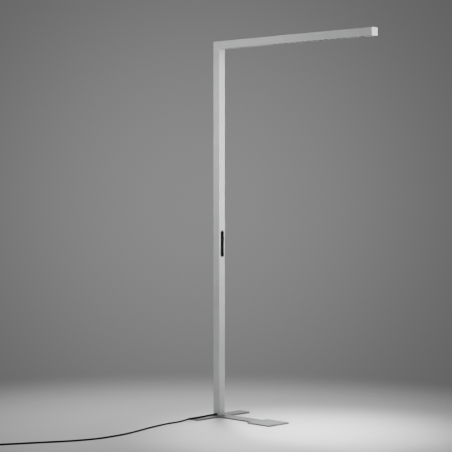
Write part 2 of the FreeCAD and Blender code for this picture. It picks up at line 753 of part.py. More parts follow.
def key(name):
    """One push key: its cap in the frame's opening, a lip behind the frame, and a stem."""
    middle = key_heights()[name]
    cap_length = NECK_LENGTH - 2 * NECK_WALL - 2 * KEY_GAP
    cap_width = NECK_WIDTH - 2 * NECK_WALL - 2 * KEY_GAP
    front = FACE_X + PANEL_T + KEY_PROUD
    cap = stadium((KEY_BACK, front), cap_length, cap_width)
    edge = [e for e in cap.Edges if e.BoundBox.XMin > front - 0.01]
    cap = cap.makeFillet(0.4, edge)
    lip = stadium((KEY_BACK, KEY_BACK + KEY_FLANGE_T), cap_length + 2 * KEY_LIP, cap_width + 2 * KEY_LIP)
    whole = cap.fuse(lip)
    inner = KEY_SPLIT / 2 - KEY_SLOT / 2
    if name == "key_power":
        span = (CONTROL_HEIGHT - inner, CONTROL_HEIGHT + inner)
    elif middle > 0:
        span = (CONTROL_HEIGHT + inner + KEY_SLOT, CONTROL_HEIGHT + PANEL_LENGTH)
    else:
        span = (CONTROL_HEIGHT - PANEL_LENGTH, CONTROL_HEIGHT - inner - KEY_SLOT)
    whole = whole.common(box((KEY_BACK - 1, front + 1), (-PANEL_WIDTH, PANEL_WIDTH), span))
    z = CONTROL_HEIGHT + middle
    stem = rod(KEY_STEM_R, (KEY_BACK - CONTROL_BOARD_GAP - STEM_ENTRY, 0, z), (KEY_BACK, 0, z))
    return whole.fuse(stem).removeSplitter()


def key_switches():
    """Short-travel switches, each with a well for its key's stem."""
    switches = []
    front = CONTROL_BOARD_FRONT + SWITCH_H
    half = SWITCH_SIZE / 2
    for middle in key_heights().values():
        z = CONTROL_HEIGHT + middle
        body = box((CONTROL_BOARD_FRONT, front), (-half, half), (z - half, z + half))
        well = rod(KEY_STEM_R + STEM_FIT, (front - STEM_ENTRY - KEY_TRAVEL - 0.8, 0, z), (front + 1, 0, z))
        switches.append(body.cut(well))
    return Part.makeCompound(switches)


def control_screw_places():
    return [(0.0, CONTROL_HEIGHT + s * CONTROL_SCREW_Z) for s in (-1, 1)]


def control_board():
    xs = (CONTROL_BOARD_FRONT - BOARD_T, CONTROL_BOARD_FRONT)
    board = stadium(xs, NECK_LENGTH - 2 * CASE_WALL - 2, NECK_WIDTH - 2 * CASE_WALL - 2)
    for y, z in control_screw_places():
        board = board.cut(rod(CONTROL_SCREW_R + COVER_GAP, (xs[0] - 1, y, z), (xs[1] + 1, y, z)))
    return board


def control_case():
    """Back shell of the panel, snapped behind the post's wall at both ends."""
    shell = stadium((CASE_BACK, NECK_BACK), NECK_LENGTH, NECK_WIDTH)
    hollow = stadium((CASE_BACK + CASE_WALL, NECK_BACK), NECK_LENGTH - 2 * CASE_WALL, NECK_WIDTH - 2 * CASE_WALL)
    shell = shell.cut(hollow)
    for y, z in control_screw_places():
        boss = rod(CONTROL_SCREW_R * 2, (CASE_BACK, y, z), (CONTROL_BOARD_FRONT - BOARD_T, y, z))
        hole = rod(CONTROL_SCREW_R + 0.05, (CASE_BACK + 0.6, y, z), (CONTROL_BOARD_FRONT, y, z))
        shell = shell.fuse(boss).cut(hole)
    end = NECK_LENGTH / 2
    for side in (1, -1):
        z = CONTROL_HEIGHT + side * end
        wedge = [
            Vector(NECK_BACK, -3, z - side * CASE_WALL),
            Vector(NECK_BACK, -3, z + side * SNAP_LUG),
            Vector(NECK_BACK - 4, -3, z - side * 0.2),
            Vector(NECK_BACK - 4, -3, z - side * CASE_WALL),
        ]
        shell = shell.fuse(prism(wedge, (0, 6, 0)))
    return shell.removeSplitter()


def control_screws():
    screws = []
    for y, z in control_screw_places():
        head = rod(CONTROL_SCREW_R * 1.8, (CONTROL_BOARD_FRONT, y, z), (CONTROL_BOARD_FRONT + 1.2, y, z))
        shank = rod(CONTROL_SCREW_R, (CASE_BACK + 0.8, y, z), (CONTROL_BOARD_FRONT, y, z))
        screws.append(head.fuse(shank).removeSplitter())
    return Part.makeCompound(screws)


# ---------------------------------------------------------------- corner


def bracket_arm_screw_places():
    xs = (FACE_X + BRACKET_REACH * 0.35, FACE_X + BRACKET_REACH * 0.85)
    return [(x, y) for x in xs for y in (-ARM_SCREW_Y, ARM_SCREW_Y)]


def corner_bracket():
    """Steel angle: one leg on the post's rear wall, one under the arm's web."""
    low = WEB_LOW - BRACKET_DROP
    half = BRACKET_W / 2
    angle = [
        Vector(-BORE_X, -half, low),
        Vector(-BORE_X + BRACKET_T, -half, low),
        Vector(-BORE_X + BRACKET_T, -half, WEB_LOW - BRACKET_T),
        Vector(FACE_X + BRACKET_REACH, -half, WEB_LOW - BRACKET_T),
        Vector(FACE_X + BRACKET_REACH, -half, WEB_LOW),
        Vector(-BORE_X, -half, WEB_LOW),
    ]
    body = prism(angle, (0, BRACKET_W, 0))
    slot_x = (ARM_CABLE_X - ARM_CABLE_R - 1, ARM_CABLE_X + ARM_CABLE_BEND)
    body = body.cut(box(slot_x, (-CABLE_SLOT_HALF, CABLE_SLOT_HALF), (WEB_LOW - BRACKET_T - 1, WEB_LOW + 1)))
    for z in bracket_post_screw_heights():
        body = body.cut(rod(BRACKET_SCREW_R + 0.05, (-BORE_X - 1, 0, z), (-BORE_X + BRACKET_T + 1, 0, z)))
    for x, y in bracket_arm_screw_places():
        body = body.cut(rod(BRACKET_SCREW_R + 0.05, (x, y, WEB_LOW - BRACKET_T - 1), (x, y, WEB_LOW + 1)))
    return body


def bracket_post_screws():
    screws = []
    sink, wide = countersink(BRACKET_SCREW_R)
    for z in bracket_post_screw_heights():
        body = cone(wide, BRACKET_SCREW_R, (REAR_X, 0, z), (REAR_X + sink, 0, z))
        body = body.fuse(rod(BRACKET_SCREW_R, (REAR_X + sink, 0, z), (-BORE_X + BRACKET_T + 1.5, 0, z)))
        screws.append(body.cut(hex_socket(BRACKET_SCREW_R * 0.6, (REAR_X, 0, z), sink, (1, 0, 0))))
    return Part.makeCompound(screws)


def bracket_arm_screws():
    screws = []
    for x, y in bracket_arm_screw_places():
        head = rod(BRACKET_SCREW_R * 1.7, (x, y, WEB_HIGH), (x, y, WEB_HIGH + 3))
        body = head.fuse(rod(BRACKET_SCREW_R, (x, y, WEB_LOW - BRACKET_T - 1), (x, y, WEB_HIGH)))
        screws.append(body.cut(hex_socket(BRACKET_SCREW_R * 0.6, (x, y, WEB_HIGH + 3), -1.8, (0, 0, 1))))
    return Part.makeCompound(screws)


# ---------------------------------------------------------------- arm


def channel(mouth, shelf_z, shelf_end, floor):
    """Section of one open channel of the arm: mouth, cover seat, shelf and floor."""
    return mirrored(
        [
            (ARM_IN_Y, mouth),
            (ARM_IN_Y, shelf_z),
            (ARM_IN_Y - SHELF, shelf_z),
            (ARM_IN_Y - SHELF, shelf_end),
            (ARM_IN_Y, shelf_end),
            (ARM_IN_Y, floor),
        ]
    )


def connector_x():
    end = LIGHT_START - 4
    return (end - CONNECTOR_LENGTH, end)


def arm_profile():
    length = ARM_END - FACE_X
    half = ARM_WIDTH / 2
    skin = [(-half, ARM_BOTTOM), (half, ARM_BOTTOM), (half, OVERALL_HEIGHT), (-half, OVERALL_HEIGHT)]
    body = across_post(skin, FACE_X, length, ARM_EDGE_R)
    low_seat = ARM_BOTTOM + LOWER_COVER_T
    high_seat = OVERALL_HEIGHT - UPPER_COVER_T
    below = channel(ARM_BOTTOM - 1, low_seat, low_seat + SHELF, WEB_LOW)
    above = channel(OVERALL_HEIGHT + 1, high_seat, high_seat - SHELF, WEB_HIGH)
    cuts = [across_post(section, FACE_X - 1, length + 2) for section in (below, above)]
    for x, y in bracket_arm_screw_places():
        cuts.append(rod(BRACKET_SCREW_R + COVER_GAP, (x, y, WEB_LOW - 1), (x, y, WEB_HIGH + 1)))
    x = connector_x()
    slot = (x[0] + 3, x[1])
    half_slot = CONNECTOR_WIDTH / 2
    cuts.append(box(slot, (-half_slot, half_slot), (WEB_LOW - 1, WEB_HIGH + 1)))
    return body.cut(Part.makeCompound(cuts))


def cell_middles():
    return [LIGHT_START + CELL_PITCH * (k + 0.5) for k in range(CELL_COUNT)]


def square(x, half, z, rounding=0.0):
    """A square wire centred under the arm's middle line at x, with rounded corners."""
    corners = [
        Vector(x - half, -half, z),
        Vector(x + half, -half, z),
        Vector(x + half, half, z),
        Vector(x - half, half, z),
    ]
    return outline(corners, half * rounding)


def arm_underside_cover():
    """Flush aluminium strip: plain near the post, with one square window for each cell."""
    half = ARM_IN_Y - COVER_GAP
    ends = (FACE_X + COVER_GAP, ARM_END - COVER_GAP)
    strip = box(ends, (-half, half), (ARM_BOTTOM, ARM_BOTTOM + LOWER_COVER_T))
    windows = []
    for x in cell_middles():
        wire = square(x, CELL_OPENING / 2, ARM_BOTTOM - 1, CELL_ROUNDING)
        windows.append(Part.Face(wire).extrude(Vector(0, 0, LOWER_COVER_T + 2)))
    return strip.cut(Part.makeCompound(windows))


def cell_half(share):
    """Half width of a cell's mirror wall at a share of its height: a parabola."""
    return (CELL_THROAT + (CELL_OPENING - CELL_THROAT) * math.sqrt(1 - share)) / 2


def reflector_strip():
    """One moulding: a flange with a row of thin-walled mirror cups, open at both ends."""
    low = ARM_BOTTOM + LOWER_COVER_T
    high = WEB_LOW - BOARD_T - 0.3
    levels = [k / CELL_RINGS for k in range(CELL_RINGS + 1)]
    flange_half = ARM_IN_Y - SHELF - 2 * COVER_GAP
    flange = box(
        (LIGHT_START + COVER_GAP, LIGHT_END - COVER_GAP), (-flange_half, flange_half), (low, low + FLANGE_T)
    )
    cups = []
    bowls = []
    for x in cell_middles():
        heights = [low + (high - low) * t for t in levels]
        outer = [square(x, cell_half(t) + CELL_WALL, z) for t, z in zip(levels, heights)]
        inner = [square(x, cell_half(t), z, CELL_ROUNDING) for t, z in zip(levels, heights)]
        cups.append(Part.makeLoft(outer, True, True))
        bowls.append(Part.makeLoft(inner, True, True))
    return flange.fuse(cups).removeSplitter().cut(Part.makeCompound(bowls))


def down_led_board():
    half = BOARD_WIDTH / 2
    return box((LIGHT_START, LIGHT_END), (-half, half), (WEB_LOW - BOARD_T, WEB_LOW))


def down_leds():
    half = DOWN_LED_SIZE / 2
    top = WEB_LOW - BOARD_T
    return Part.makeCompound(
        [box((x - half, x + half), (-half, half), (top - LED_T, top)) for x in cell_middles()]
    )


def up_led_board():
    half = BOARD_WIDTH / 2
    return box((LIGHT_START, LIGHT_END), (-half, half), (WEB_HIGH, WEB_HIGH + BOARD_T))


def up_leds():
    half = UP_LED_SIZE / 2
    low = WEB_HIGH + BOARD_T
    first = (LIGHT_START + LIGHT_END) / 2 - UP_LED_PITCH * (UP_LED_COUNT - 1) / 2
    places = [first + UP_LED_PITCH * k for k in range(UP_LED_COUNT)]
    return Part.makeCompound([box((x - half, x + half), (-half, half), (low, low + LED_T)) for x in places])


def board_connector():
    """Plug-in connector that passes through the web and feeds both boards."""
    x = connector_x()
    half = CONNECTOR_WIDTH / 2
    body = box(x, (-half - 2, half + 2), (WEB_HIGH, WEB_HIGH + CONNECTOR_H))
    neck = box(
        (x[0] + 3 + COVER_GAP, x[1] - COVER_GAP),
        (-half + COVER_GAP, half - COVER_GAP),
        (WEB_LOW - 4, WEB_HIGH),
    )
    return body.fuse(neck).removeSplitter()


def board_leads():
    """Short leads from the connector to the ends of the upper and lower boards."""
    end = connector_x()[1]
    up = box((end, LIGHT_START), (-3, 3), (WEB_HIGH, WEB_HIGH + 1.2))
    down = box((end, LIGHT_START), (-3, 3), (WEB_LOW - 1.2, WEB_LOW))
    down = down.fuse(box((end - COVER_GAP, end), (-3, 3), (WEB_LOW - 1.2, WEB_LOW))).removeSplitter()
    return Part.makeCompound([up, down])


def top_diffuser():
    """Opal strip with two snap legs, flush with the top of the arm."""
    half = ARM_IN_Y - COVER_GAP
    leg = ARM_IN_Y - SHELF - COVER_GAP
    low = OVERALL_HEIGHT - UPPER_COVER_T
    section = mirrored(
        [
            (leg - DIFFUSER_LEG_T, low),
            (leg - DIFFUSER_LEG_T, low - DIFFUSER_LEG),
            (leg, low - DIFFUSER_LEG),
            (leg, low),
            (half, low),
            (half, OVERALL_HEIGHT),
        ]
    )
    start = LIGHT_START - 2
    return across_post(section, start, ARM_END - COVER_GAP - start)


def arm_top_cover():
    half = ARM_IN_Y - COVER_GAP
    ends = (FACE_X + COVER_GAP, LIGHT_START - 2 - COVER_GAP)
    return box(ends, (-half, half), (OVERALL_HEIGHT - UPPER_COVER_T, OVERALL_HEIGHT))


def clip_section(seat, way):
    """Spring strip on a cover's inner face, hooked over the shelves on both sides."""
    inner = ARM_IN_Y - SHELF - 1.8
    hook = SHELF + COVER_GAP
    half = [
        (inner - CLIP_T, seat + way * CLIP_T),
        (inner - CLIP_T, seat + way * (hook + CLIP_T)),
        (ARM_IN_Y - 0.4, seat + way * (hook + CLIP_T)),
        (ARM_IN_Y - 0.4, seat + way * hook),
        (inner, seat + way * hook),
        (inner, seat),
    ]
    return mirrored(half)


def cover_clips():
    low = clip_section(ARM_BOTTOM + LOWER_COVER_T, 1)
    high = clip_section(OVERALL_HEIGHT - UPPER_COVER_T, -1)
    near = FACE_X + 40
    far = LIGHT_START - 30
    tip = (LIGHT_END + ARM_END - CAP_PEG_LENGTH) / 2 - CLIP_LENGTH / 2
    lower = [across_post(low, x, CLIP_LENGTH) for x in (near, (near + far) / 2, far, tip)]
    upper = [across_post(high, x, CLIP_LENGTH) for x in (near - 20, far - 20)]
    return Part.makeCompound(lower + upper)


def end_cap():
    """Plate that closes the arm's tip, held by a peg in each channel."""
    half = ARM_WIDTH / 2
    skin = [(-half, ARM_BOTTOM), (half, ARM_BOTTOM), (half, OVERALL_HEIGHT), (-half, OVERALL_HEIGHT)]
    plate = across_post(skin, ARM_END, END_CAP_T, ARM_EDGE_R)
    rim = [e for e in plate.Edges if e.BoundBox.XMin > ARM_END + END_CAP_T - 0.01]
    plate = plate.makeChamfer(0.4, rim)
    peg_half = ARM_IN_Y - SHELF - 2
    pegs = []
    for z in (WEB_LOW - 0.3 - CAP_PEG_T, WEB_HIGH + 0.3):
        pegs.append(box((ARM_END - CAP_PEG_LENGTH, ARM_END), (-peg_half, peg_half), (z, z + CAP_PEG_T)))
    return plate.fuse(pegs).removeSplitter()


# ---------------------------------------------------------------- mains cord


def heading():
    return Vector(math.cos(COIL_HEADING), math.sin(COIL_HEADING), 0)


def cord_route():
    """The free stretch's points, ending one diameter before the coil's first turn."""
    entry = Vector(*COIL_ENTRY, ON_FLOOR) - heading() * CORD_D
    lead_in = entry - heading() * (CORD_D * 7)
    return CORD_POINTS + [tuple(lead_in), tuple(entry)]


def cord_radii(points):
    """Largest bend at each point that its two runs allow."""
    places = [Vector(*p) for p in points]
    radii = []
    for before, corner, after in zip(places, places[1:], places[2:]):
        runs = ((corner - before).Length, (after - corner).Length)
        half_turn = (corner - before).getAngle(after - corner) / 2
        radii.append(0.45 * min(runs) / math.tan(half_turn))
    return radii


def mains_cord():
    points = cord_route()
    radii = cord_radii(points)
    path = run_of(points, radii)
    solid = tube(path, CORD_D / 2)
    expected = math.pi * CORD_D**2 / 4 * path.Length
    print("cord radii", [round(r) for r in radii])
    print("cord length", round(path.Length, 1), "volume share", round(solid.Volume / expected, 5))
    return solid


def coil_place(turn):
    """A point of the coil's centreline and its direction, after this many turns: the loops
    spiral in on the floor, climb at the middle, and spiral out again on top."""
    middle = COIL_TURNS / 2
    outer = COIL_MEAN_R + COIL_PITCH * middle / 2
    inward = COIL_PITCH * min(turn, COIL_TURNS - turn)
    radius = outer - inward
    shrink = -COIL_PITCH if turn < middle else COIL_PITCH
    climb = min(max((turn - middle) / 0.5 + 0.5, 0.0), 1.0)
    rise = COIL_PITCH / 0.5 if 0.0 < climb < 1.0 else 0.0
    side = heading().cross(Vector(0, 0, 1))
    centre = Vector(*COIL_ENTRY, ON_FLOOR) + side * outer
    angle = 2 * math.pi * turn
    arm = side * (-math.cos(angle)) + heading() * math.sin(angle)
    along = side * math.sin(angle) + heading() * math.cos(angle)
    place = centre + arm * radius + Vector(0, 0, COIL_PITCH * climb)
    speed = along * (2 * math.pi * radius) + arm * shrink + Vector(0, 0, rise)
    return place, speed.normalize()


def biarc(start, start_way, end, end_way):
    """Two tangent arcs that join two places with their directions."""
    gap = end - start
    both = start_way + end_way
    a = 2 * (start_way.dot(end_way) - 1)
    b = -2 * gap.dot(both)
    c = gap.dot(gap)
    reach = (-b - math.sqrt(b * b - 4 * a * c)) / (2 * a) if abs(a) > 1e-9 else -c / b
    first = start + start_way * reach
    last = end - end_way * reach
    joint = (first + last) / 2
    edges = []
    for begin, apex, finish in ((start, first, joint), (joint, last, end)):
        turn = (apex - begin).getAngle(finish - apex)
        chord = (begin + finish) / 2
        share = math.tan(turn / 4) / math.tan(turn / 2)
        edges.append(Part.Arc(begin, chord + (apex - chord) * share, finish).toShape())
    return edges


def coil_stops():
    """Turn counts at which the coil's arcs meet: quarter turns, with the coil's middle."""
    return [k / 4 for k in range(COIL_TURNS * 4 + 1)]


def coil_gap(path):
    """Least distance between the coil's loops, on points along it, less one diameter."""
    points = path.discretize(Distance=CORD_D * 0.6)
    skip = int(COIL_MEAN_R / (CORD_D * 0.6)) + 3
    least = 1e9
    for k, point in enumerate(points):
        for other in points[k + skip :]:
            least = min(least, point.distanceToPoint(other))
    return least - CORD_D


def cord_coil():
    edges = []
    stops = coil_stops()
    first, first_way = coil_place(stops[0])
    first_way = heading()
    edges.append(Part.LineSegment(first - first_way * CORD_D, first).toShape())
    last, last_way = first, first_way
    for turn in stops[1:]:
        place, way = coil_place(turn)
        if turn == stops[-1]:
            way = heading()
        edges += biarc(last, last_way, place, way)
        last, last_way = place, way
    edges.append(Part.LineSegment(last, last + last_way * CORD_D).toShape())
    path = Part.Wire(edges)
    solid = tube(path, CORD_D / 2)
    expected = math.pi * CORD_D**2 / 4 * path.Length
    print("coil length", round(path.Length, 1), "volume share", round(solid.Volume / expected, 5))
    print("coil least gap to itself", round(coil_gap(path), 2))
    return solid


def plug_start():
    end, _ = coil_place(COIL_TURNS)
    return end + heading() * CORD_D


def plug_middle():
    """Centre of the plug's round body, at floor level."""
    centre = plug_start() + heading() * (PLUG_COLLAR + PLUG_BACK_R - 2)
    return Vector(centre.x, centre.y, CORD_LIFT)


def plug_body():
    """Angled plug lying on its back: round grip, narrower face with side grooves, collar."""
    centre = plug_middle()
    up = Vector(0, 0, 1)
    grip = Part.makeCylinder(PLUG_BACK_R, PLUG_BACK_H, centre)
    grip = grip.makeFillet(2.0, [e for e in grip.Edges if len(e.Vertexes) == 1])
    front = Part.makeCylinder(PLUG_R, PLUG_H - 2, centre + up)
    collar_start = plug_start()
    collar = Part.makeCone(CORD_D / 2 + 0.2, PLUG_COLLAR_R, PLUG_COLLAR + 4, collar_start, heading())
    body = grip.fuse([front, collar]).removeSplitter()
    for side in (1, -1):
        body = body.cut(earth_groove(side, 0.0))
    for pin in pin_places():
        body = body.cut(Part.makeCylinder(PIN_R + 0.05, 11, pin - up * 10))
    return body


def pin_places():
    """Where the two pins leave the plug's face."""
    top = plug_middle() + Vector(0, 0, PLUG_H - 1)
    return [top + heading() * (s * PIN_SPACING / 2) for s in (-1, 1)]


def earth_groove(side, gap):
    """The slot in the side of the plug's face that holds an earth clip."""
    across = heading().cross(Vector(0, 0, 1)) * side
    half = EARTH_CLIP_W / 2 - gap
    depth = 3.0 - gap
    low = PLUG_BACK_H + 2 + gap
    base = plug_middle() + across * (PLUG_R - depth) + Vector(0, 0, low)
    corners = [base + heading() * half, base - heading() * half]
    corners += [corners[1] + across * (depth + 2 - 3 * gap), corners[0] + across * (depth + 2 - 3 * gap)]
    return prism(corners, (0, 0, PLUG_H - low + 1 - 2 * gap))


def plug_pins():
    pins = []
    for place in pin_places():
        low = place - Vector(0, 0, 9.8)
        pin = Part.makeCylinder(PIN_R, PIN_LENGTH + 9.8, low)
        tip = [e for e in pin.Edges if e.BoundBox.ZMin > low.z + PIN_LENGTH + 9]
        pins.append(pin.makeFillet(1.2, tip))
    return Part.makeCompound(pins)


def plug_earth_clips():
    """Sprung brass strips in the grooves on both sides of the plug's face."""
    clips = []
    across = heading().cross(Vector(0, 0, 1))
    for side in (1, -1):
        out = across * side
        base = plug_middle() + out * (PLUG_R - 3.0) + Vector(0, 0, PLUG_BACK_H + 2.2)
        half = EARTH_CLIP_W / 2 - 0.3
        profile = [
            base,
            base + out * 0.8,
            base + out * 2.8 + Vector(0, 0, 6.0),
            base + out * 0.8 + Vector(0, 0, 12.0),
            base + Vector(0, 0, 12.0),
            base + out * 2.0 + Vector(0, 0, 6.0),
        ]
        start = [p - heading() * half for p in profile]
        clips.append(prism(start, tuple(heading() * (2 * half))))
    return Part.makeCompound(clips)


PIECES = {
    "foot_plate": foot_plate,
    "foot_pads": foot_pads,
    "foot_screws": foot_screws,
    "post_spigot": post_spigot,
    "post_profile": post_profile,
    "post_lock_screws": post_lock_screws,
    "post_top_cap": post_top_cap,
    "cord_gland": cord_gland,
    "cord_clamp": cord_clamp,
    "clamp_screws": clamp_screws,
    "inner_mains_lead": inner_mains_lead,
    "terminal_block": terminal_block,
    "mains_cores": mains_cores,
    "driver_carrier": driver_carrier,
    "carrier_screw": carrier_screw,
    "led_driver": led_driver,
    "driver_screws": driver_screws,
    "arm_cable": arm_cable,
    "control_cable": control_cable,
    "cable_clips": cable_clips,
    "control_frame": control_frame,
    "key_brighter": lambda: key("key_brighter"),
    "key_power": lambda: key("key_power"),
    "key_dimmer": lambda: key("key_dimmer"),
    "key_switches": key_switches,
    "control_board": control_board,
    "control_case": control_case,
    "control_screws": control_screws,
    "corner_bracket": corner_bracket,
    "bracket_post_screws": bracket_post_screws,
    "bracket_arm_screws": bracket_arm_screws,
    "arm_profile": arm_profile,
    "arm_underside_cover": arm_underside_cover,
    "reflector_strip": reflector_strip,
    "down_led_board": down_led_board,
    "down_leds": down_leds,
    "up_led_board": up_led_board,
    "up_leds": up_leds,
    "board_connector": board_connector,
    "board_leads": board_leads,
    "top_diffuser": top_diffuser,
    "arm_top_cover": arm_top_cover,
    "cover_clips": cover_clips,
    "end_cap": end_cap,
    "mains_cord": mains_cord,
    "cord_coil": cord_coil,
    "plug_body": plug_body,
    "plug_pins": plug_pins,
    "plug_earth_clips": plug_earth_clips,
}

os.makedirs("parts", exist_ok=True)
for name, make in PIECES.items():
    make().exportStep(f"parts/{name}.step")
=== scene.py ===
import math

import bmesh
import bpy
from mathutils import Matrix, Vector


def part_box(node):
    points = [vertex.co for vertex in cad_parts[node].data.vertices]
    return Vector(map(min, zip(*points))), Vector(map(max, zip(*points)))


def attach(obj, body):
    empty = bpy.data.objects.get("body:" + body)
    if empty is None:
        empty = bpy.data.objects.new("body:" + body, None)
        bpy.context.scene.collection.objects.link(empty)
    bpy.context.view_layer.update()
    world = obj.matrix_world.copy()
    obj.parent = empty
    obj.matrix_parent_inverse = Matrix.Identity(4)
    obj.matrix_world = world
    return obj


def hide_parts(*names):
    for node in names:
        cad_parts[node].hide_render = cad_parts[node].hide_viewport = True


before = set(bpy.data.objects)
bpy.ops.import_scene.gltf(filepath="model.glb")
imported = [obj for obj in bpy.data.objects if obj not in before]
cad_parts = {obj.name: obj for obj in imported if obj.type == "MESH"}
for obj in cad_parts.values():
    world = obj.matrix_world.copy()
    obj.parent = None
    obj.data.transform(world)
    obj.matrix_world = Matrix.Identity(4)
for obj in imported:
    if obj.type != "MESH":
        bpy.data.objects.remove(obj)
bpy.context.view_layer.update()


# ---- Studio floor ---------------------------------------------------------------------------
# A painted studio floor, matt and pale where the lamp stands. Further out it fades into the
# grey of the room, so that no horizon shows.

MM = 0.001


def linear(colour):
    """Linear RGBA of an sRGB hex value."""
    parts = [int(colour[k : k + 2], 16) / 255 for k in (1, 3, 5)]
    curve = [c / 12.92 if c <= 0.04045 else ((c + 0.055) / 1.055) ** 2.4 for c in parts]
    return (*curve, 1.0)


def add(tree, kind, inputs=None, **settings):
    """Adds a node with its settings and links. An input is a value, a socket, or a node, which
    stands for its first output."""
    made = tree.nodes.new(kind)
    for name, value in settings.items():
        setattr(made, name, value)
    for name, value in (inputs or {}).items():
        if isinstance(value, bpy.types.Node):
            value = value.outputs[0]
        if isinstance(value, bpy.types.NodeSocket):
            tree.links.new(value, made.inputs[name])
        else:
            made.inputs[name].default_value = value
    return made


def empty_material(name):
    """A new material with an empty node tree, and the tree."""
    material = bpy.data.materials.new(name)
    material.use_nodes = True
    material.node_tree.nodes.clear()
    return material, material.node_tree


FLOOR_PALE = linear("#d6d6d6")
FLOOR_WORN = linear("#cfcfcf")
FLOOR_CENTRE = Vector((0.15, -0.3, 0.0))
FADE_START = 0.4
FADE_END = 2.3
FLOOR_R = 3.0

floor_paint, tree = empty_material("matt_studio_floor_paint")
place = add(tree, "ShaderNodeTexCoord").outputs["Object"]
rolled = add(tree, "ShaderNodeTexNoise", {"Vector": place, "Scale": 1 / (300 * MM), "Detail": 3.0})
tint = add(tree, "ShaderNodeMix", {0: rolled, 6: FLOOR_WORN, 7: FLOOR_PALE}, data_type="RGBA")
away = add(tree, "ShaderNodeVectorMath", {0: place, 1: FLOOR_CENTRE}, operation="DISTANCE")
fade = add(
    tree,
    "ShaderNodeMapRange",
    {"Value": away.outputs["Value"], "From Min": FADE_START, "From Max": FADE_END},
    interpolation_type="SMOOTHSTEP",
)
paint = add(tree, "ShaderNodeBsdfDiffuse", {"Color": tint.outputs[2]})
gone = add(tree, "ShaderNodeBsdfTransparent")
blend = add(tree, "ShaderNodeMixShader", {0: fade, 1: paint, 2: gone})
add(tree, "ShaderNodeOutputMaterial", {"Surface": blend})

bm = bmesh.new()
bmesh.ops.create_circle(bm, cap_ends=True, segments=96, radius=FLOOR_R)
mesh = bpy.data.meshes.new("studio_floor")
bm.to_mesh(mesh)
bm.free()
mesh.materials.append(floor_paint)
studio_floor = bpy.data.objects.new("studio_floor", mesh)
bpy.context.collection.objects.link(studio_floor)


# ---- Room and lights ------------------------------------------------------------------------
# A grey room, painted a little paler behind the lamp than at its ends as painted light on the
# backdrop,
# and soft boxes with grids: they light the lamp's upper half more than its foot, and make a pale pool
# on the floor.

ROOM_MIDDLE_PAINTED_LIT = linear("#8e8e8e")
ROOM_ENDS = linear("#626262")
ROOM_MIDDLE_WAY = Vector((-0.719, 0.695, -0.010))
ROOM_REACH = 0.24
ROOM_LIGHT = 0.44

world = bpy.data.worlds.new("studio_room")
bpy.context.scene.world = world
world.use_nodes = True
tree = world.node_tree
tree.nodes.clear()
way = add(tree, "ShaderNodeTexCoord").outputs["Generated"]
off = add(tree, "ShaderNodeVectorMath", {0: way, 1: ROOM_MIDDLE_WAY}, operation="DISTANCE")
share = add(
    tree,
    "ShaderNodeMapRange",
    {"Value": off.outputs["Value"], "From Max": ROOM_REACH},
    interpolation_type="SMOOTHSTEP",
)
# Painted light: the room's grey is paler towards the middle, behind the lamp.
grey = add(tree, "ShaderNodeMix", {0: share, 6: ROOM_MIDDLE_PAINTED_LIT, 7: ROOM_ENDS}, data_type="RGBA")
rays = add(tree, "ShaderNodeLightPath").outputs
direct = add(
    tree, "ShaderNodeMath", {0: rays["Is Camera Ray"], 1: rays["Is Glossy Ray"]}, operation="MAXIMUM"
)
sight = add(
    tree, "ShaderNodeMath", {0: direct, 1: rays["Is Transmission Ray"]}, operation="MAXIMUM"
)
light = add(tree, "ShaderNodeBackground", {"Color": linear("#ffffff"), "Strength": ROOM_LIGHT})
wall = add(tree, "ShaderNodeBackground", {"Color": grey.outputs[2], "Strength": 1.0})
room = add(tree, "ShaderNodeMixShader", {0: sight, 1: light, 2: wall})
add(tree, "ShaderNodeOutputWorld", {"Surface": room})


def soft_box(name, place, target, size, spread, power):
    """A square soft box aimed at a point, with a grid that narrows its beam to the spread."""
    lamp = bpy.data.lights.new(name, "AREA")
    lamp.shape = "SQUARE"
    lamp.size = size
    lamp.spread = math.radians(spread)
    lamp.energy = power
    body = bpy.data.objects.new(name, lamp)
    body.location = place
    body.rotation_euler = (Vector(target) - Vector(place)).to_track_quat("-Z", "Y").to_euler()
    bpy.context.collection.objects.link(body)


soft_box("right_box", (5.6, -0.15, 1.8), (0.0, 0.0, 1.4), size=0.9, spread=22, power=13.9)
soft_box("left_box", (-1.6, -2.6, 1.9), (-0.1, 0.0, 1.37), size=0.8, spread=52, power=4.35)
soft_box("low_back_box", (0.4, 3.0, 0.5), (0.6, 0.0, 1.9), size=1.2, spread=100, power=16)
soft_box("pool_box", (-0.6, 0.7, 4.4), (0.74, -0.02, 0.0), size=0.5, spread=21, power=10.3)
soft_box("overhead_box", (-0.8, 1.0, 4.4), (-0.2, -0.1, 0.0), size=1.6, spread=70, power=16)


# ---- Camera ---------------------------------------------------------------------------------
# A level camera 1.2 m above the floor with a long lens, as in the photograph. Its place and
# lens come from a fit of the lamp's own straight edges in a frame of 452 pixels.

FRAME_PIXELS = 452
FOCAL_PIXELS = 1518.37
HORIZON_ROW = 184.95
CAMERA_PLACE = (5.6155, -5.5664, 1.2051)
CAMERA_TURN = 44.992

camera = bpy.data.cameras.new("camera")
camera.sensor_width = 36.0
camera.lens = FOCAL_PIXELS * camera.sensor_width / FRAME_PIXELS
camera.shift_y = (HORIZON_ROW - FRAME_PIXELS / 2) / FRAME_PIXELS
camera_body = bpy.data.objects.new("camera", camera)
camera_body.location = CAMERA_PLACE
camera_body.rotation_euler = (math.radians(90), 0, math.radians(CAMERA_TURN))
bpy.context.collection.objects.link(camera_body)
bpy.context.scene.camera = camera_body


# ---- Mains cord -----------------------------------------------------------------------------
# A three-core lead 8 mm thick in a smooth black PVC sheath, extruded, with the soft sheen and
# the slight unevenness of a flexible cord. It lies on the foot and the floor, and its spare
# length is wound in five turns, in two layers.

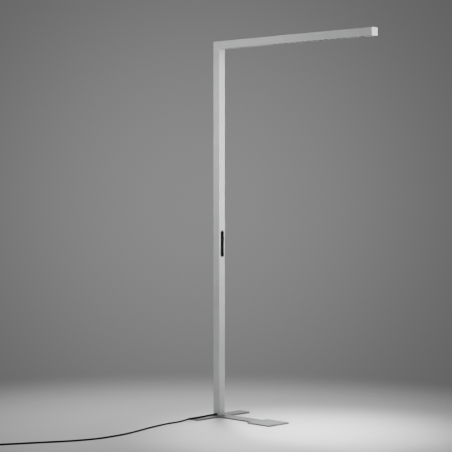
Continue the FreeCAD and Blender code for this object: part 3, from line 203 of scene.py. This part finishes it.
CORD_D = 8.0
LAYER = 8.7
ON_FLOOR = 4.2
CORD_ROUTE = [
    (0, -46, 14.0),
    (0, -80, 14.0),
    (7, -125, 12.9),
    (13, -176, 12.9),
    (12, -224, 12.9),
    (4, -286, ON_FLOOR),
    (3, -350, ON_FLOOR),
    (17, -437, ON_FLOOR),
    (42, -540, ON_FLOOR),
    (74, -640, ON_FLOOR),
    (97, -735, ON_FLOOR),
    (105, -825, ON_FLOOR),
    (105, -905, ON_FLOOR),
    (88, -978, ON_FLOOR),
    (55, -1062, ON_FLOOR),
    (9, -1147, ON_FLOOR),
    (-36, -1234, ON_FLOOR),
    (-77, -1310, ON_FLOOR),
]
COIL_HEADING = math.radians(245)
COIL_ENTRY = Vector((-128, -1420, ON_FLOOR))
COIL_MEAN_R = 47.0
COIL_TURNS = 5
POINTS_PER_TURN = 24
STRAIGHT_IN = 8 * CORD_D

ahead = Vector((math.cos(COIL_HEADING), math.sin(COIL_HEADING), 0))
aside = ahead.cross(Vector((0, 0, 1)))
outer_r = COIL_MEAN_R + LAYER * COIL_TURNS / 4
coil_centre = COIL_ENTRY + aside * outer_r
route = [Vector(p) for p in CORD_ROUTE]
route += [COIL_ENTRY - ahead * STRAIGHT_IN, COIL_ENTRY - ahead * CORD_D]
# The turns go inwards on the floor, climb one layer half-way, and come outwards on top.
for k in range(COIL_TURNS * POINTS_PER_TURN + 1):
    turn = k / POINTS_PER_TURN
    radius = outer_r - LAYER * min(turn, COIL_TURNS - turn)
    climb = min(max(2 * (turn - COIL_TURNS / 2) + 0.5, 0.0), 1.0)
    arm = ahead * math.sin(math.tau * turn) - aside * math.cos(math.tau * turn)
    route.append(coil_centre + arm * radius + Vector((0, 0, LAYER * climb)))
cord_end = COIL_ENTRY + ahead * CORD_D + Vector((0, 0, LAYER))
route.append(cord_end)

curve = bpy.data.curves.new("mains_cord_sheath", "CURVE")
curve.dimensions = "3D"
curve.bevel_depth = CORD_D / 2 * MM
curve.bevel_resolution = 5
curve.resolution_u = 6
curve.use_fill_caps = True
spline = curve.splines.new("NURBS")
spline.points.add(len(route) - 1)
for point, spot in zip(spline.points, route):
    point.co = (*(spot * MM), 1.0)
spline.order_u = 3
spline.use_endpoint_u = True
cord_sheath = bpy.data.objects.new("mains_cord_sheath", curve)
bpy.context.collection.objects.link(cord_sheath)


# Flexible PVC, extruded: nearly black, with a soft sheen that varies slowly along the cord, and a
# fine matt bloom. The bloom is drawn at 1.2 mm, coarser than it is, so that it shows.
sheath_pvc, tree = empty_material("black_flexible_pvc")
place = add(tree, "ShaderNodeTexCoord").outputs["Object"]
sheen = add(tree, "ShaderNodeTexNoise", {"Vector": place, "Scale": 1 / (35 * MM), "Detail": 3.0})
tint = add(
    tree, "ShaderNodeMix", {0: sheen, 6: linear("#020203"), 7: linear("#060607")}, data_type="RGBA"
)
rough = add(tree, "ShaderNodeMapRange", {"Value": sheen, "To Min": 0.48, "To Max": 0.66})
bloom = add(tree, "ShaderNodeTexNoise", {"Vector": place, "Scale": 1 / (1.2 * MM)})
relief = add(tree, "ShaderNodeBump", {"Height": bloom, "Distance": 0.06 * MM})
shader = add(
    tree,
    "ShaderNodeBsdfPrincipled",
    {
        "Base Color": tint.outputs[2],
        "Roughness": rough,
        "IOR": 1.52,
        "Specular IOR Level": 0.1,
        "Normal": relief,
    },
)
add(tree, "ShaderNodeOutputMaterial", {"Surface": shader})
curve.materials.append(sheath_pvc)

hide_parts("mains_cord", "cord_coil")
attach(cord_sheath, "lamp")


# ---- Plug -----------------------------------------------------------------------------------
# An angled plug, moulded on to the cord in a harder PVC. It lies on its flat back with its two
# pins up, and its round grip has shallow ribs on both sides.


def dress(material, *nodes):
    """Gives CAD nodes their finish."""
    for name in nodes:
        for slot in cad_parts[name].material_slots:
            slot.material = material


# Hard PVC from a spark-eroded mould: black, dull, with a fine grain.
plug_pvc, tree = empty_material("moulded_black_pvc")
place = add(tree, "ShaderNodeTexCoord").outputs["Object"]
flow = add(tree, "ShaderNodeTexNoise", {"Vector": place, "Scale": 1 / (14 * MM)})
tint = add(
    tree, "ShaderNodeMix", {0: flow, 6: linear("#0b0b0c"), 7: linear("#161617")}, data_type="RGBA"
)
grain = add(tree, "ShaderNodeTexNoise", {"Vector": place, "Scale": 1 / (0.7 * MM), "Detail": 3.0})
rough = add(tree, "ShaderNodeMapRange", {"Value": grain, "To Min": 0.45, "To Max": 0.62})
relief = add(tree, "ShaderNodeBump", {"Height": grain, "Distance": 0.06 * MM})
shader = add(
    tree,
    "ShaderNodeBsdfPrincipled",
    {"Base Color": tint.outputs[2], "Roughness": rough, "IOR": 1.53, "Normal": relief},
)
add(tree, "ShaderNodeOutputMaterial", {"Surface": shader})
dress(plug_pvc, "plug_body")

GRIP_COLLAR = 40.0
GRIP_R = 21.0
GRIP_RIBS = 5
RIB_PITCH = 2.4
RIB_SIZE = (1.0, 1.2, 9.0)
RIB_Z = 7.2
RIB_EDGE = 0.35
GRIP_OVERLAP = 2.0
grip_middle = cord_end + ahead * (GRIP_COLLAR + GRIP_R - GRIP_OVERLAP)
bm = bmesh.new()
for side in (1, -1):
    for k in range(GRIP_RIBS):
        lean = (k - (GRIP_RIBS - 1) / 2) * RIB_PITCH / GRIP_R
        out = aside * side * math.cos(lean) + ahead * math.sin(lean)
        rib = bmesh.ops.create_cube(bm, size=1.0)["verts"]
        bmesh.ops.scale(bm, vec=RIB_SIZE, verts=rib)
        turn = Matrix.Rotation(math.atan2(out.y, out.x), 3, "Z")
        bmesh.ops.rotate(bm, matrix=turn, verts=rib)
        spot = grip_middle + out * GRIP_R
        bmesh.ops.translate(bm, vec=(spot.x, spot.y, RIB_Z), verts=rib)
bmesh.ops.bevel(
    bm, geom=bm.edges[:], offset=RIB_EDGE, segments=2, profile=0.5, affect="EDGES", material=-1
)
bmesh.ops.scale(bm, vec=(MM, MM, MM), verts=bm.verts[:])
mesh = bpy.data.meshes.new("plug_grip_ribs")
bm.to_mesh(mesh)
bm.free()
mesh.materials.append(plug_pvc)
plug_ribs = bpy.data.objects.new("plug_grip_ribs", mesh)
bpy.context.collection.objects.link(plug_ribs)
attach(plug_ribs, "lamp")

# Brass, turned or pressed, with a thin nickel plate: warm, pale and bright, with fine streaks.
nickel_plate, tree = empty_material("nickel_plated_brass")
place = add(tree, "ShaderNodeTexCoord").outputs["Object"]
streaks = add(tree, "ShaderNodeTexNoise", {"Vector": place, "Scale": 1 / (3 * MM), "Detail": 4.0})
tint = add(
    tree, "ShaderNodeMix", {0: streaks, 6: linear("#bfbbb1"), 7: linear("#d6d3cb")}, data_type="RGBA"
)
rough = add(tree, "ShaderNodeMapRange", {"Value": streaks, "To Min": 0.2, "To Max": 0.36})
shader = add(
    tree,
    "ShaderNodeBsdfPrincipled",
    {"Base Color": tint.outputs[2], "Metallic": 1.0, "Roughness": rough},
)
add(tree, "ShaderNodeOutputMaterial", {"Surface": shader})
dress(nickel_plate, "plug_pins", "plug_earth_clips")


# ---- Foot plate -----------------------------------------------------------------------------
# An 8 mm steel plate, cut to a crossbar, a leg and a wide end, with its edges rounded over, and
# powder-coated in a matt silver grey. Its orange peel is drawn at 2.2 mm, so that it shows.


def silver_coat(name, colours, metallic, specular, roughness, peel, die=None, shaded_joint_x=None):
    """A silver coat: its colour drifts slowly, hands leave it a little uneven in gloss, and its
    skin has an orange peel of a size and a depth in mm. On an extrusion faint lines run in the
    die's direction, and at a butt joint a narrow band is darkened: painted shade of the joint,
    with some dust."""
    material, tree = empty_material(name)
    place = add(tree, "ShaderNodeTexCoord").outputs["Object"]
    drift = add(tree, "ShaderNodeTexNoise", {"Vector": place, "Scale": 1 / (90 * MM), "Detail": 4.0})
    span = add(tree, "ShaderNodeMapRange", {"Value": drift, "From Min": 0.3, "From Max": 0.7})
    dark, pale = (linear(c) for c in colours)
    tint = add(tree, "ShaderNodeMix", {0: span, 6: dark, 7: pale}, data_type="RGBA").outputs[2]
    hands = add(tree, "ShaderNodeTexNoise", {"Vector": place, "Scale": 1 / (35 * MM), "Detail": 4.0})
    low, high = roughness
    rough = add(tree, "ShaderNodeMapRange", {"Value": hands, "To Min": low, "To Max": high})
    size, depth = peel
    skin = add(tree, "ShaderNodeTexNoise", {"Vector": place, "Scale": 1 / (size * MM)})
    relief = add(tree, "ShaderNodeBump", {"Height": skin, "Distance": depth * MM})
    if die:
        drawn = add(tree, "ShaderNodeMapping", {"Vector": place, "Scale": die})
        lines = add(
            tree, "ShaderNodeTexNoise", {"Vector": drawn, "Scale": 1 / (DIE_LINE * MM), "Detail": 3.0}
        )
        streak = add(tree, "ShaderNodeMapRange", {"Value": lines, "From Min": 0.35, "From Max": 0.65})
        tint = add(
            tree, "ShaderNodeMix", {0: streak, 6: linear(STREAK_GREY), 7: tint}, data_type="RGBA"
        ).outputs[2]
        relief = add(
            tree, "ShaderNodeBump", {"Height": lines, "Distance": 0.025 * MM, "Normal": relief}
        )
    # Painted shade: a narrow band at the butt joint is darkened, for the joint's shadow and some
    # dust.
    if shaded_joint_x:
        axes = add(tree, "ShaderNodeSeparateXYZ", {0: place})
        reach = {"From Min": shaded_joint_x * MM, "From Max": (shaded_joint_x + JOINT_SHADE_WIDTH) * MM}
        joint_shade_and_dust = add(tree, "ShaderNodeMapRange", {"Value": axes, **reach})
        tint = add(
            tree, "ShaderNodeMix", {0: joint_shade_and_dust, 6: linear(JOINT_SHADE_AND_DUST_GREY), 7: tint}, data_type="RGBA"
        ).outputs[2]
    shader = add(
        tree,
        "ShaderNodeBsdfPrincipled",
        {
            "Base Color": tint,
            "Metallic": metallic,
            "Roughness": rough,
            "Specular IOR Level": specular,
            "Normal": relief,
        },
    )
    add(tree, "ShaderNodeOutputMaterial", {"Surface": shader})
    return material


# The foot's greys are painted darker than the coat's own: painted shade, for the dimmer light low at
# the floor.
FOOT_PAINTED_SHADE_GREYS = ("#717273", "#7f8081")
foot_powder = silver_coat(
    "matt_silver_powder_coat_on_steel",
    FOOT_PAINTED_SHADE_GREYS,
    metallic=0.0,
    specular=0.1,
    roughness=(0.58, 0.74),
    peel=(2.2, 0.14),
)
dress(foot_powder, "foot_plate")


# ---- Foot pads ------------------------------------------------------------------------------
# Seven round pads of solid rubber, glued into recesses under the plate. Their skin is black and
# dull, with the fine pits of the mould.

pad_rubber, tree = empty_material("moulded_black_rubber")
place = add(tree, "ShaderNodeTexCoord").outputs["Object"]
dust = add(tree, "ShaderNodeTexNoise", {"Vector": place, "Scale": 1 / (9 * MM)})
tint = add(
    tree, "ShaderNodeMix", {0: dust, 6: linear("#0f0f10"), 7: linear("#1b1b1b")}, data_type="RGBA"
)
pits = add(tree, "ShaderNodeTexNoise", {"Vector": place, "Scale": 1 / (0.9 * MM), "Detail": 3.0})
rough = add(tree, "ShaderNodeMapRange", {"Value": pits, "To Min": 0.66, "To Max": 0.86})
relief = add(tree, "ShaderNodeBump", {"Height": pits, "Distance": 0.08 * MM})
shader = add(
    tree,
    "ShaderNodeBsdfPrincipled",
    {"Base Color": tint.outputs[2], "Roughness": rough, "Normal": relief},
)
add(tree, "ShaderNodeOutputMaterial", {"Surface": shader})
dress(pad_rubber, "foot_pads")


# ---- Foot screws and spigot -----------------------------------------------------------------
# Four countersunk steel screws from below hold a cast aluminium block, the spigot, to the foot.
# The post slides over the block.

# Cast aluminium, left bare: a dull grey metal with the grain of the mould.
bare_casting, tree = empty_material("bare_cast_aluminium")
place = add(tree, "ShaderNodeTexCoord").outputs["Object"]
sand = add(tree, "ShaderNodeTexNoise", {"Vector": place, "Scale": 1 / (1.5 * MM), "Detail": 4.0})
tint = add(
    tree, "ShaderNodeMix", {0: sand, 6: linear("#868788"), 7: linear("#a2a3a4")}, data_type="RGBA"
)
rough = add(tree, "ShaderNodeMapRange", {"Value": sand, "To Min": 0.45, "To Max": 0.62})
relief = add(tree, "ShaderNodeBump", {"Height": sand, "Distance": 0.12 * MM})
inputs = {"Base Color": tint.outputs[2], "Metallic": 1.0, "Roughness": rough, "Normal": relief}
shader = add(tree, "ShaderNodeBsdfPrincipled", inputs)
add(tree, "ShaderNodeOutputMaterial", {"Surface": shader})
dress(bare_casting, "post_spigot")

# Steel with a bright zinc plate: it has a faint spangle and drifts from blue-white to grey.
zinc_plate, tree = empty_material("bright_zinc_plate_on_steel")
place = add(tree, "ShaderNodeTexCoord").outputs["Object"]
spangle = add(tree, "ShaderNodeTexVoronoi", {"Vector": place, "Scale": 1 / (2.5 * MM)})
tint = add(
    tree, "ShaderNodeMix", {0: spangle, 6: linear("#a8adb0"), 7: linear("#c4c4be")}, data_type="RGBA"
)
haze = add(tree, "ShaderNodeTexNoise", {"Vector": place, "Scale": 1 / (1.1 * MM), "Detail": 3.0})
rough = add(tree, "ShaderNodeMapRange", {"Value": haze, "To Min": 0.25, "To Max": 0.42})
relief = add(tree, "ShaderNodeBump", {"Height": haze, "Distance": 0.01 * MM})
inputs = {"Base Color": tint.outputs[2], "Metallic": 1.0, "Roughness": rough, "Normal": relief}
shader = add(tree, "ShaderNodeBsdfPrincipled", inputs)
add(tree, "ShaderNodeOutputMaterial", {"Surface": shader})
dress(zinc_plate, "foot_screws")


# ---- Post -----------------------------------------------------------------------------------
# A closed aluminium extrusion with rails inside, sawn square and coated in matt silver. The
# die's lines run up it. Two set screws from the rear lock it on the spigot.

# The lines are finer than they are drawn, 2.4 mm apart, so that they show.
PROFILE_GREYS = ("#b7b8b9", "#c6c7c8")
STREAK_GREY = "#b5b6b7"
DIE_LINE = 2.4
UP_THE_POST = (1.0, 1.0, 0.012)
PROFILE_FINISH = {"metallic": 0.2, "specular": 0.5, "roughness": (0.4, 0.56), "peel": (1.4, 0.05)}
post_coat = silver_coat(
    "matt_silver_coat_on_extruded_post", PROFILE_GREYS, die=UP_THE_POST, **PROFILE_FINISH
)
dress(post_coat, "post_profile")
dress(zinc_plate, "post_lock_screws")


# ---- Cord entry -----------------------------------------------------------------------------
# A rubber gland with a ribbed, tapered sleeve leads the cord into the post. Inside, a black
# plastic clamp with two screws holds it, and the lead goes on up to the terminals.

dress(pad_rubber, "cord_gland")
dress(sheath_pvc, "inner_mains_lead")
dress(zinc_plate, "clamp_screws")

# ABS from a spark-eroded mould: black and matt, with a grain of about 0.5 mm.
matt_abs, tree = empty_material("moulded_black_abs_matt")
place = add(tree, "ShaderNodeTexCoord").outputs["Object"]
flow = add(tree, "ShaderNodeTexNoise", {"Vector": place, "Scale": 1 / (12 * MM)})
tint = add(
    tree, "ShaderNodeMix", {0: flow, 6: linear("#040405"), 7: linear("#0b0b0c")}, data_type="RGBA"
)
grain = add(tree, "ShaderNodeTexNoise", {"Vector": place, "Scale": 1 / (0.5 * MM)})
rough = add(tree, "ShaderNodeMapRange", {"Value": grain, "To Min": 0.36, "To Max": 0.5})
relief = add(tree, "ShaderNodeBump", {"Height": grain, "Distance": 0.03 * MM})
shader = add(
    tree,
    "ShaderNodeBsdfPrincipled",
    {
        "Base Color": tint.outputs[2],
        "Roughness": rough,
        "IOR": 1.54,
        "Specular IOR Level": 0.25,
        "Normal": relief,
    },
)
add(tree, "ShaderNodeOutputMaterial", {"Surface": shader})
dress(matt_abs, "cord_clamp")


# ---- Terminal block and cores ---------------------------------------------------------------
# A white plastic block joins the lead's three cores, brown, green and yellow, and blue, to the
# driver.

# Polycarbonate, moulded: white, slightly warm, with a faint grain and flow marks.
white_pc, tree = empty_material("moulded_white_polycarbonate")
place = add(tree, "ShaderNodeTexCoord").outputs["Object"]
flow = add(tree, "ShaderNodeTexNoise", {"Vector": place, "Scale": 1 / (30 * MM)})
tint = add(
    tree, "ShaderNodeMix", {0: flow, 6: linear("#dcdad2"), 7: linear("#eae9e3")}, data_type="RGBA"
)
grain = add(tree, "ShaderNodeTexNoise", {"Vector": place, "Scale": 1 / (0.8 * MM)})
rough = add(tree, "ShaderNodeMapRange", {"Value": grain, "To Min": 0.38, "To Max": 0.54})
relief = add(tree, "ShaderNodeBump", {"Height": grain, "Distance": 0.03 * MM})
shader = add(
    tree,
    "ShaderNodeBsdfPrincipled",
    {"Base Color": tint.outputs[2], "Roughness": rough, "IOR": 1.58, "Normal": relief},
)
add(tree, "ShaderNodeOutputMaterial", {"Surface": shader})
dress(white_pc, "terminal_block")

# Core insulation, extruded PVC: one plain colour a core, and the middle one half green and half
# yellow. The cores stand 7.5 mm apart.
CORE_SPACING = 7.5
CORE_X = -4.75
core_pvc, tree = empty_material("coloured_core_pvc")
place = add(tree, "ShaderNodeTexCoord").outputs["Object"]
axes = add(tree, "ShaderNodeSeparateXYZ", {0: place})
side = add(
    tree, "ShaderNodeMath", {0: axes.outputs["X"], 1: CORE_X * MM}, operation="GREATER_THAN"
)
earth = add(
    tree, "ShaderNodeMix", {0: side, 6: linear("#2f7a35"), 7: linear("#d8c02c")}, data_type="RGBA"
)
past_line = add(
    tree,
    "ShaderNodeMath",
    {0: axes.outputs["Y"], 1: -CORE_SPACING / 2 * MM},
    operation="GREATER_THAN",
)
two = add(
    tree,
    "ShaderNodeMix",
    {0: past_line, 6: linear("#5a3a22"), 7: earth.outputs[2]},
    data_type="RGBA",
)
past_earth = add(
    tree,
    "ShaderNodeMath",
    {0: axes.outputs["Y"], 1: CORE_SPACING / 2 * MM},
    operation="GREATER_THAN",
)
tint = add(
    tree,
    "ShaderNodeMix",
    {0: past_earth, 6: two.outputs[2], 7: linear("#2a4f9a")},
    data_type="RGBA",
)
sheen = add(tree, "ShaderNodeTexNoise", {"Vector": place, "Scale": 1 / (3 * MM)})
rough = add(tree, "ShaderNodeMapRange", {"Value": sheen, "To Min": 0.35, "To Max": 0.5})
shader = add(
    tree, "ShaderNodeBsdfPrincipled", {"Base Color": tint.outputs[2], "Roughness": rough}
)
add(tree, "ShaderNodeOutputMaterial", {"Surface": shader})
dress(core_pvc, "mains_cores")


# ---- Driver ---------------------------------------------------------------------------------
# The driver is a long white plastic box. Two screws hold it on a folded steel sheet that slides
# between the post's rails, and one screw holds the sheet.

dress(zinc_plate, "driver_carrier", "carrier_screw", "driver_screws")
dress(white_pc, "led_driver")


# ---- Cables in the post ---------------------------------------------------------------------
# Two thin sheathed cables leave the driver, one for the light boards and one for the keys.
# Black plastic clips hold them to the rails.

dress(sheath_pvc, "arm_cable", "control_cable")
dress(matt_abs, "cable_clips")


# ---- Key panel ------------------------------------------------------------------------------
# A stadium-shaped frame in the post's front face, with a case behind it that two screws pull
# against the wall. In the case, three short-travel switches stand on a small board.

dress(matt_abs, "control_frame", "control_case", "key_switches")
dress(zinc_plate, "control_screws")

# Glass-fibre laminate under a green solder mask: glossy, with the weave and the tracks faint in it.
green_mask, tree = empty_material("green_solder_mask")
place = add(tree, "ShaderNodeTexCoord").outputs["Object"]
tracks = add(
    tree, "ShaderNodeTexVoronoi", {"Vector": place, "Scale": 1 / (3 * MM)}, distance="MANHATTAN"
)
tint = add(
    tree, "ShaderNodeMix", {0: tracks, 6: linear("#2c7a45"), 7: linear("#1a5330")}, data_type="RGBA"
)
weave = add(tree, "ShaderNodeTexNoise", {"Vector": place, "Scale": 1 / (0.8 * MM)})
rough = add(tree, "ShaderNodeMapRange", {"Value": weave, "To Min": 0.25, "To Max": 0.4})
relief = add(tree, "ShaderNodeBump", {"Height": weave, "Distance": 0.02 * MM})
shader = add(
    tree,
    "ShaderNodeBsdfPrincipled",
    {"Base Color": tint.outputs[2], "Roughness": rough, "Normal": relief},
)
add(tree, "ShaderNodeOutputMaterial", {"Surface": shader})
dress(green_mask, "control_board")


# ---- Keys -----------------------------------------------------------------------------------
# Three push keys fill the frame: brighter, on and off, dimmer. They are black ABS from a
# polished mould, and fingers have given them a low, uneven satin.

satin_abs, tree = empty_material("moulded_black_abs_satin")
place = add(tree, "ShaderNodeTexCoord").outputs["Object"]
rubbed = add(tree, "ShaderNodeTexNoise", {"Vector": place, "Scale": 1 / (9 * MM), "Detail": 3.0})
tint = add(
    tree, "ShaderNodeMix", {0: rubbed, 6: linear("#040405"), 7: linear("#090909")}, data_type="RGBA"
)
rough = add(tree, "ShaderNodeMapRange", {"Value": rubbed, "To Min": 0.18, "To Max": 0.3})
grain = add(tree, "ShaderNodeTexNoise", {"Vector": place, "Scale": 1 / (0.6 * MM)})
relief = add(tree, "ShaderNodeBump", {"Height": grain, "Distance": 0.012 * MM})
shader = add(
    tree,
    "ShaderNodeBsdfPrincipled",
    {"Base Color": tint.outputs[2], "Roughness": rough, "IOR": 1.54, "Normal": relief},
)
add(tree, "ShaderNodeOutputMaterial", {"Surface": shader})
dress(satin_abs, "key_brighter", "key_power", "key_dimmer")


# ---- Corner ---------------------------------------------------------------------------------
# A folded steel bracket inside the post and the arm holds them square. Three screws come through
# the post's rear wall, and four through the arm's web.

dress(zinc_plate, "corner_bracket", "bracket_post_screws", "bracket_arm_screws")


# ---- Arm ------------------------------------------------------------------------------------
# The arm is extruded and coated as the post is, butted against the post's front wall, with the
# die's lines along it. A thin strip of the same finish, punched with sixteen windows, closes
# its underside, and a plain one closes its top near the post.

# The seam against the post is painted shade: a darker line for the joint's shadow and some dust,
# drawn 2.5 mm wide so that it shows.
ALONG_THE_ARM = (0.012, 1.0, 1.0)
SAWN_X = 22.5
JOINT_SHADE_WIDTH = 2.5
JOINT_SHADE_AND_DUST_GREY = "#77787a"
arm_coat = silver_coat(
    "matt_silver_coat_on_extruded_arm",
    PROFILE_GREYS,
    die=ALONG_THE_ARM,
    shaded_joint_x=SAWN_X,
    **PROFILE_FINISH,
)
dress(arm_coat, "arm_profile", "arm_underside_cover", "arm_top_cover")
dress(zinc_plate, "cover_clips")


# ---- Reflector ------------------------------------------------------------------------------
# One moulded strip of sixteen square cups with curved walls, metallised in a vacuum. The film
# is a soft mirror, a little wavy where the plastic shrank.

mirror_film, tree = empty_material("vacuum_metallised_reflector")
place = add(tree, "ShaderNodeTexCoord").outputs["Object"]
waves = add(tree, "ShaderNodeTexNoise", {"Vector": place, "Scale": 1 / (6 * MM)})
tint = add(
    tree, "ShaderNodeMix", {0: waves, 6: linear("#a6a7a8"), 7: linear("#b6b7b8")}, data_type="RGBA"
)
rough = add(tree, "ShaderNodeMapRange", {"Value": waves, "To Min": 0.1, "To Max": 0.2})
relief = add(tree, "ShaderNodeBump", {"Height": waves, "Distance": 0.05 * MM})
inputs = {"Base Color": tint.outputs[2], "Metallic": 1.0, "Roughness": rough, "Normal": relief}
shader = add(tree, "ShaderNodeBsdfPrincipled", inputs)
add(tree, "ShaderNodeOutputMaterial", {"Surface": shader})
dress(mirror_film, "reflector_strip")


# ---- Light boards ---------------------------------------------------------------------------
# Two aluminium-core boards under a white solder mask, one that lights down through the cups and
# one that lights up, with a white plastic connector and two short leads.

white_mask, tree = empty_material("white_solder_mask")
place = add(tree, "ShaderNodeTexCoord").outputs["Object"]
tracks = add(
    tree, "ShaderNodeTexVoronoi", {"Vector": place, "Scale": 1 / (6 * MM)}, distance="MANHATTAN"
)
tint = add(
    tree, "ShaderNodeMix", {0: tracks, 6: linear("#e9ebe7"), 7: linear("#d9dbd6")}, data_type="RGBA"
)
rough = add(tree, "ShaderNodeMapRange", {"Value": tracks, "To Min": 0.28, "To Max": 0.4})
relief = add(tree, "ShaderNodeBump", {"Height": tracks, "Distance": 0.03 * MM})
shader = add(
    tree,
    "ShaderNodeBsdfPrincipled",
    {"Base Color": tint.outputs[2], "Roughness": rough, "Normal": relief},
)
add(tree, "ShaderNodeOutputMaterial", {"Surface": shader})
dress(white_mask, "down_led_board", "up_led_board")
dress(white_pc, "board_connector")

# The two leads are thin PVC cores, one red and one black.
lead_pvc, tree = empty_material("red_and_black_lead_pvc")
place = add(tree, "ShaderNodeTexCoord").outputs["Object"]
axes = add(tree, "ShaderNodeSeparateXYZ", {0: place})
side = add(tree, "ShaderNodeMath", {0: axes.outputs["Y"], 1: 0.0}, operation="GREATER_THAN")
tint = add(
    tree, "ShaderNodeMix", {0: side, 6: linear("#a81f1f"), 7: linear("#121212")}, data_type="RGBA"
)
sheen = add(tree, "ShaderNodeTexNoise", {"Vector": place, "Scale": 1 / (3 * MM)})
rough = add(tree, "ShaderNodeMapRange", {"Value": sheen, "To Min": 0.35, "To Max": 0.5})
shader = add(
    tree, "ShaderNodeBsdfPrincipled", {"Base Color": tint.outputs[2], "Roughness": rough}
)
add(tree, "ShaderNodeOutputMaterial", {"Surface": shader})
dress(lead_pvc, "board_leads")


# ---- Light sources --------------------------------------------------------------------------
# Each light source is a small square white housing, soldered to its board. Under every cup, it
# is filled with a low dome of silicone that carries yellow phosphor.

housing, tree = empty_material("white_moulded_led_housing")
place = add(tree, "ShaderNodeTexCoord").outputs["Object"]
cast = add(tree, "ShaderNodeTexNoise", {"Vector": place, "Scale": 1 / (1 * MM)})
tint = add(
    tree, "ShaderNodeMix", {0: cast, 6: linear("#e2e2dc"), 7: linear("#f0f0ea")}, data_type="RGBA"
)
rough = add(tree, "ShaderNodeMapRange", {"Value": cast, "To Min": 0.35, "To Max": 0.45})
shader = add(
    tree, "ShaderNodeBsdfPrincipled", {"Base Color": tint.outputs[2], "Roughness": rough}
)
add(tree, "ShaderNodeOutputMaterial", {"Surface": shader})
dress(housing, "down_leds", "up_leds")

phosphor, tree = empty_material("yellow_phosphor_in_silicone")
place = add(tree, "ShaderNodeTexCoord").outputs["Object"]
grains = add(tree, "ShaderNodeTexNoise", {"Vector": place, "Scale": 1 / (0.4 * MM)})
tint = add(
    tree, "ShaderNodeMix", {0: grains, 6: linear("#d6b535"), 7: linear("#ead264")}, data_type="RGBA"
)
shader = add(
    tree,
    "ShaderNodeBsdfPrincipled",
    {"Base Color": tint.outputs[2], "Roughness": 0.22, "IOR": 1.41, "Coat Weight": 0.4},
)
add(tree, "ShaderNodeOutputMaterial", {"Surface": shader})

DOME_R = 1.25
DOME_HEIGHT = 0.55
CELL_COUNT = 16
FLAT_NORMAL = 0.999
leds_low, leds_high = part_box("down_leds")
half_led = (leds_high.y - leds_low.y) / 2
first_x = (leds_low.x + half_led) / MM
cell_pitch = ((leds_high.x - half_led) / MM - first_x) / (CELL_COUNT - 1)
bm = bmesh.new()
for k in range(CELL_COUNT):
    ball = bmesh.ops.create_uvsphere(bm, u_segments=16, v_segments=8, radius=DOME_R)["verts"]
    bmesh.ops.scale(bm, vec=(1.0, 1.0, DOME_HEIGHT / DOME_R), verts=ball)
    bmesh.ops.translate(bm, vec=(first_x + cell_pitch * k, 0.0, 0.0), verts=ball)
whole = bm.verts[:] + bm.edges[:] + bm.faces[:]
cut = bmesh.ops.bisect_plane(bm, geom=whole, plane_no=(0, 0, 1), clear_outer=True)
rims = [part for part in cut["geom_cut"] if isinstance(part, bmesh.types.BMEdge)]
bmesh.ops.edgeloop_fill(bm, edges=rims)
bmesh.ops.recalc_face_normals(bm, faces=bm.faces[:])
for face in bm.faces:
    face.smooth = abs(face.normal.z) < FLAT_NORMAL
bmesh.ops.translate(bm, vec=(0.0, 0.0, leds_low.z / MM), verts=bm.verts[:])
bmesh.ops.scale(bm, vec=(MM, MM, MM), verts=bm.verts[:])
mesh = bpy.data.meshes.new("down_led_domes")
bm.to_mesh(mesh)
bm.free()
mesh.materials.append(phosphor)
led_domes = bpy.data.objects.new("down_led_domes", mesh)
bpy.context.collection.objects.link(led_domes)
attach(led_domes, "lamp")


# ---- Opal strip -----------------------------------------------------------------------------
# An extruded acrylic strip, snapped in flush with the arm's top. It spreads the light that goes
# up, and unlit it is a milky white with a low gloss, drawn out along its length.

opal_acrylic, tree = empty_material("extruded_opal_acrylic")
place = add(tree, "ShaderNodeTexCoord").outputs["Object"]
drawn = add(tree, "ShaderNodeMapping", {"Vector": place, "Scale": ALONG_THE_ARM})
flow = add(tree, "ShaderNodeTexNoise", {"Vector": drawn, "Scale": 1 / (2.5 * MM)})
tint = add(
    tree, "ShaderNodeMix", {0: flow, 6: linear("#e4e5e3"), 7: linear("#eeefed")}, data_type="RGBA"
)
rough = add(tree, "ShaderNodeMapRange", {"Value": flow, "To Min": 0.3, "To Max": 0.42})
relief = add(tree, "ShaderNodeBump", {"Height": flow, "Distance": 0.02 * MM})
shader = add(
    tree,
    "ShaderNodeBsdfPrincipled",
    {
        "Base Color": tint.outputs[2],
        "Roughness": rough,
        "IOR": 1.49,
        "Subsurface Weight": 0.3,
        "Subsurface Radius": (1.0, 1.0, 1.0),
        "Subsurface Scale": 4 * MM,
        "Normal": relief,
    },
)
add(tree, "ShaderNodeOutputMaterial", {"Surface": shader})
dress(opal_acrylic, "top_diffuser")


# ---- End cap --------------------------------------------------------------------------------
# A machined aluminium cap plugs the arm's tip. Its coat is smoother than the extrusion's, and its
# greys are painted paler: painted light, for the key light that falls on the tip.

CAP_PAINTED_LIT_GREYS = ("#d3d4d5", "#d9dadb")
cap_coat_painted_lit = silver_coat(
    "smooth_silver_coat_painted_lit",
    CAP_PAINTED_LIT_GREYS,
    metallic=0.15,
    specular=0.5,
    roughness=(0.3, 0.42),
    peel=(1.0, 0.02),
)
dress(cap_coat_painted_lit, "end_cap")


# ---- Post top cap ---------------------------------------------------------------------------
# A push-in cap of ABS, moulded in a silver grey that matches the coat, with a fine grain.

TOP_CAP_GREYS = ("#b4b5b6", "#bcbdbe")
silver_abs = silver_coat(
    "moulded_silver_grey_abs",
    TOP_CAP_GREYS,
    metallic=0.1,
    specular=0.5,
    roughness=(0.46, 0.58),
    peel=(0.8, 0.04),
)
dress(silver_abs, "post_top_cap")
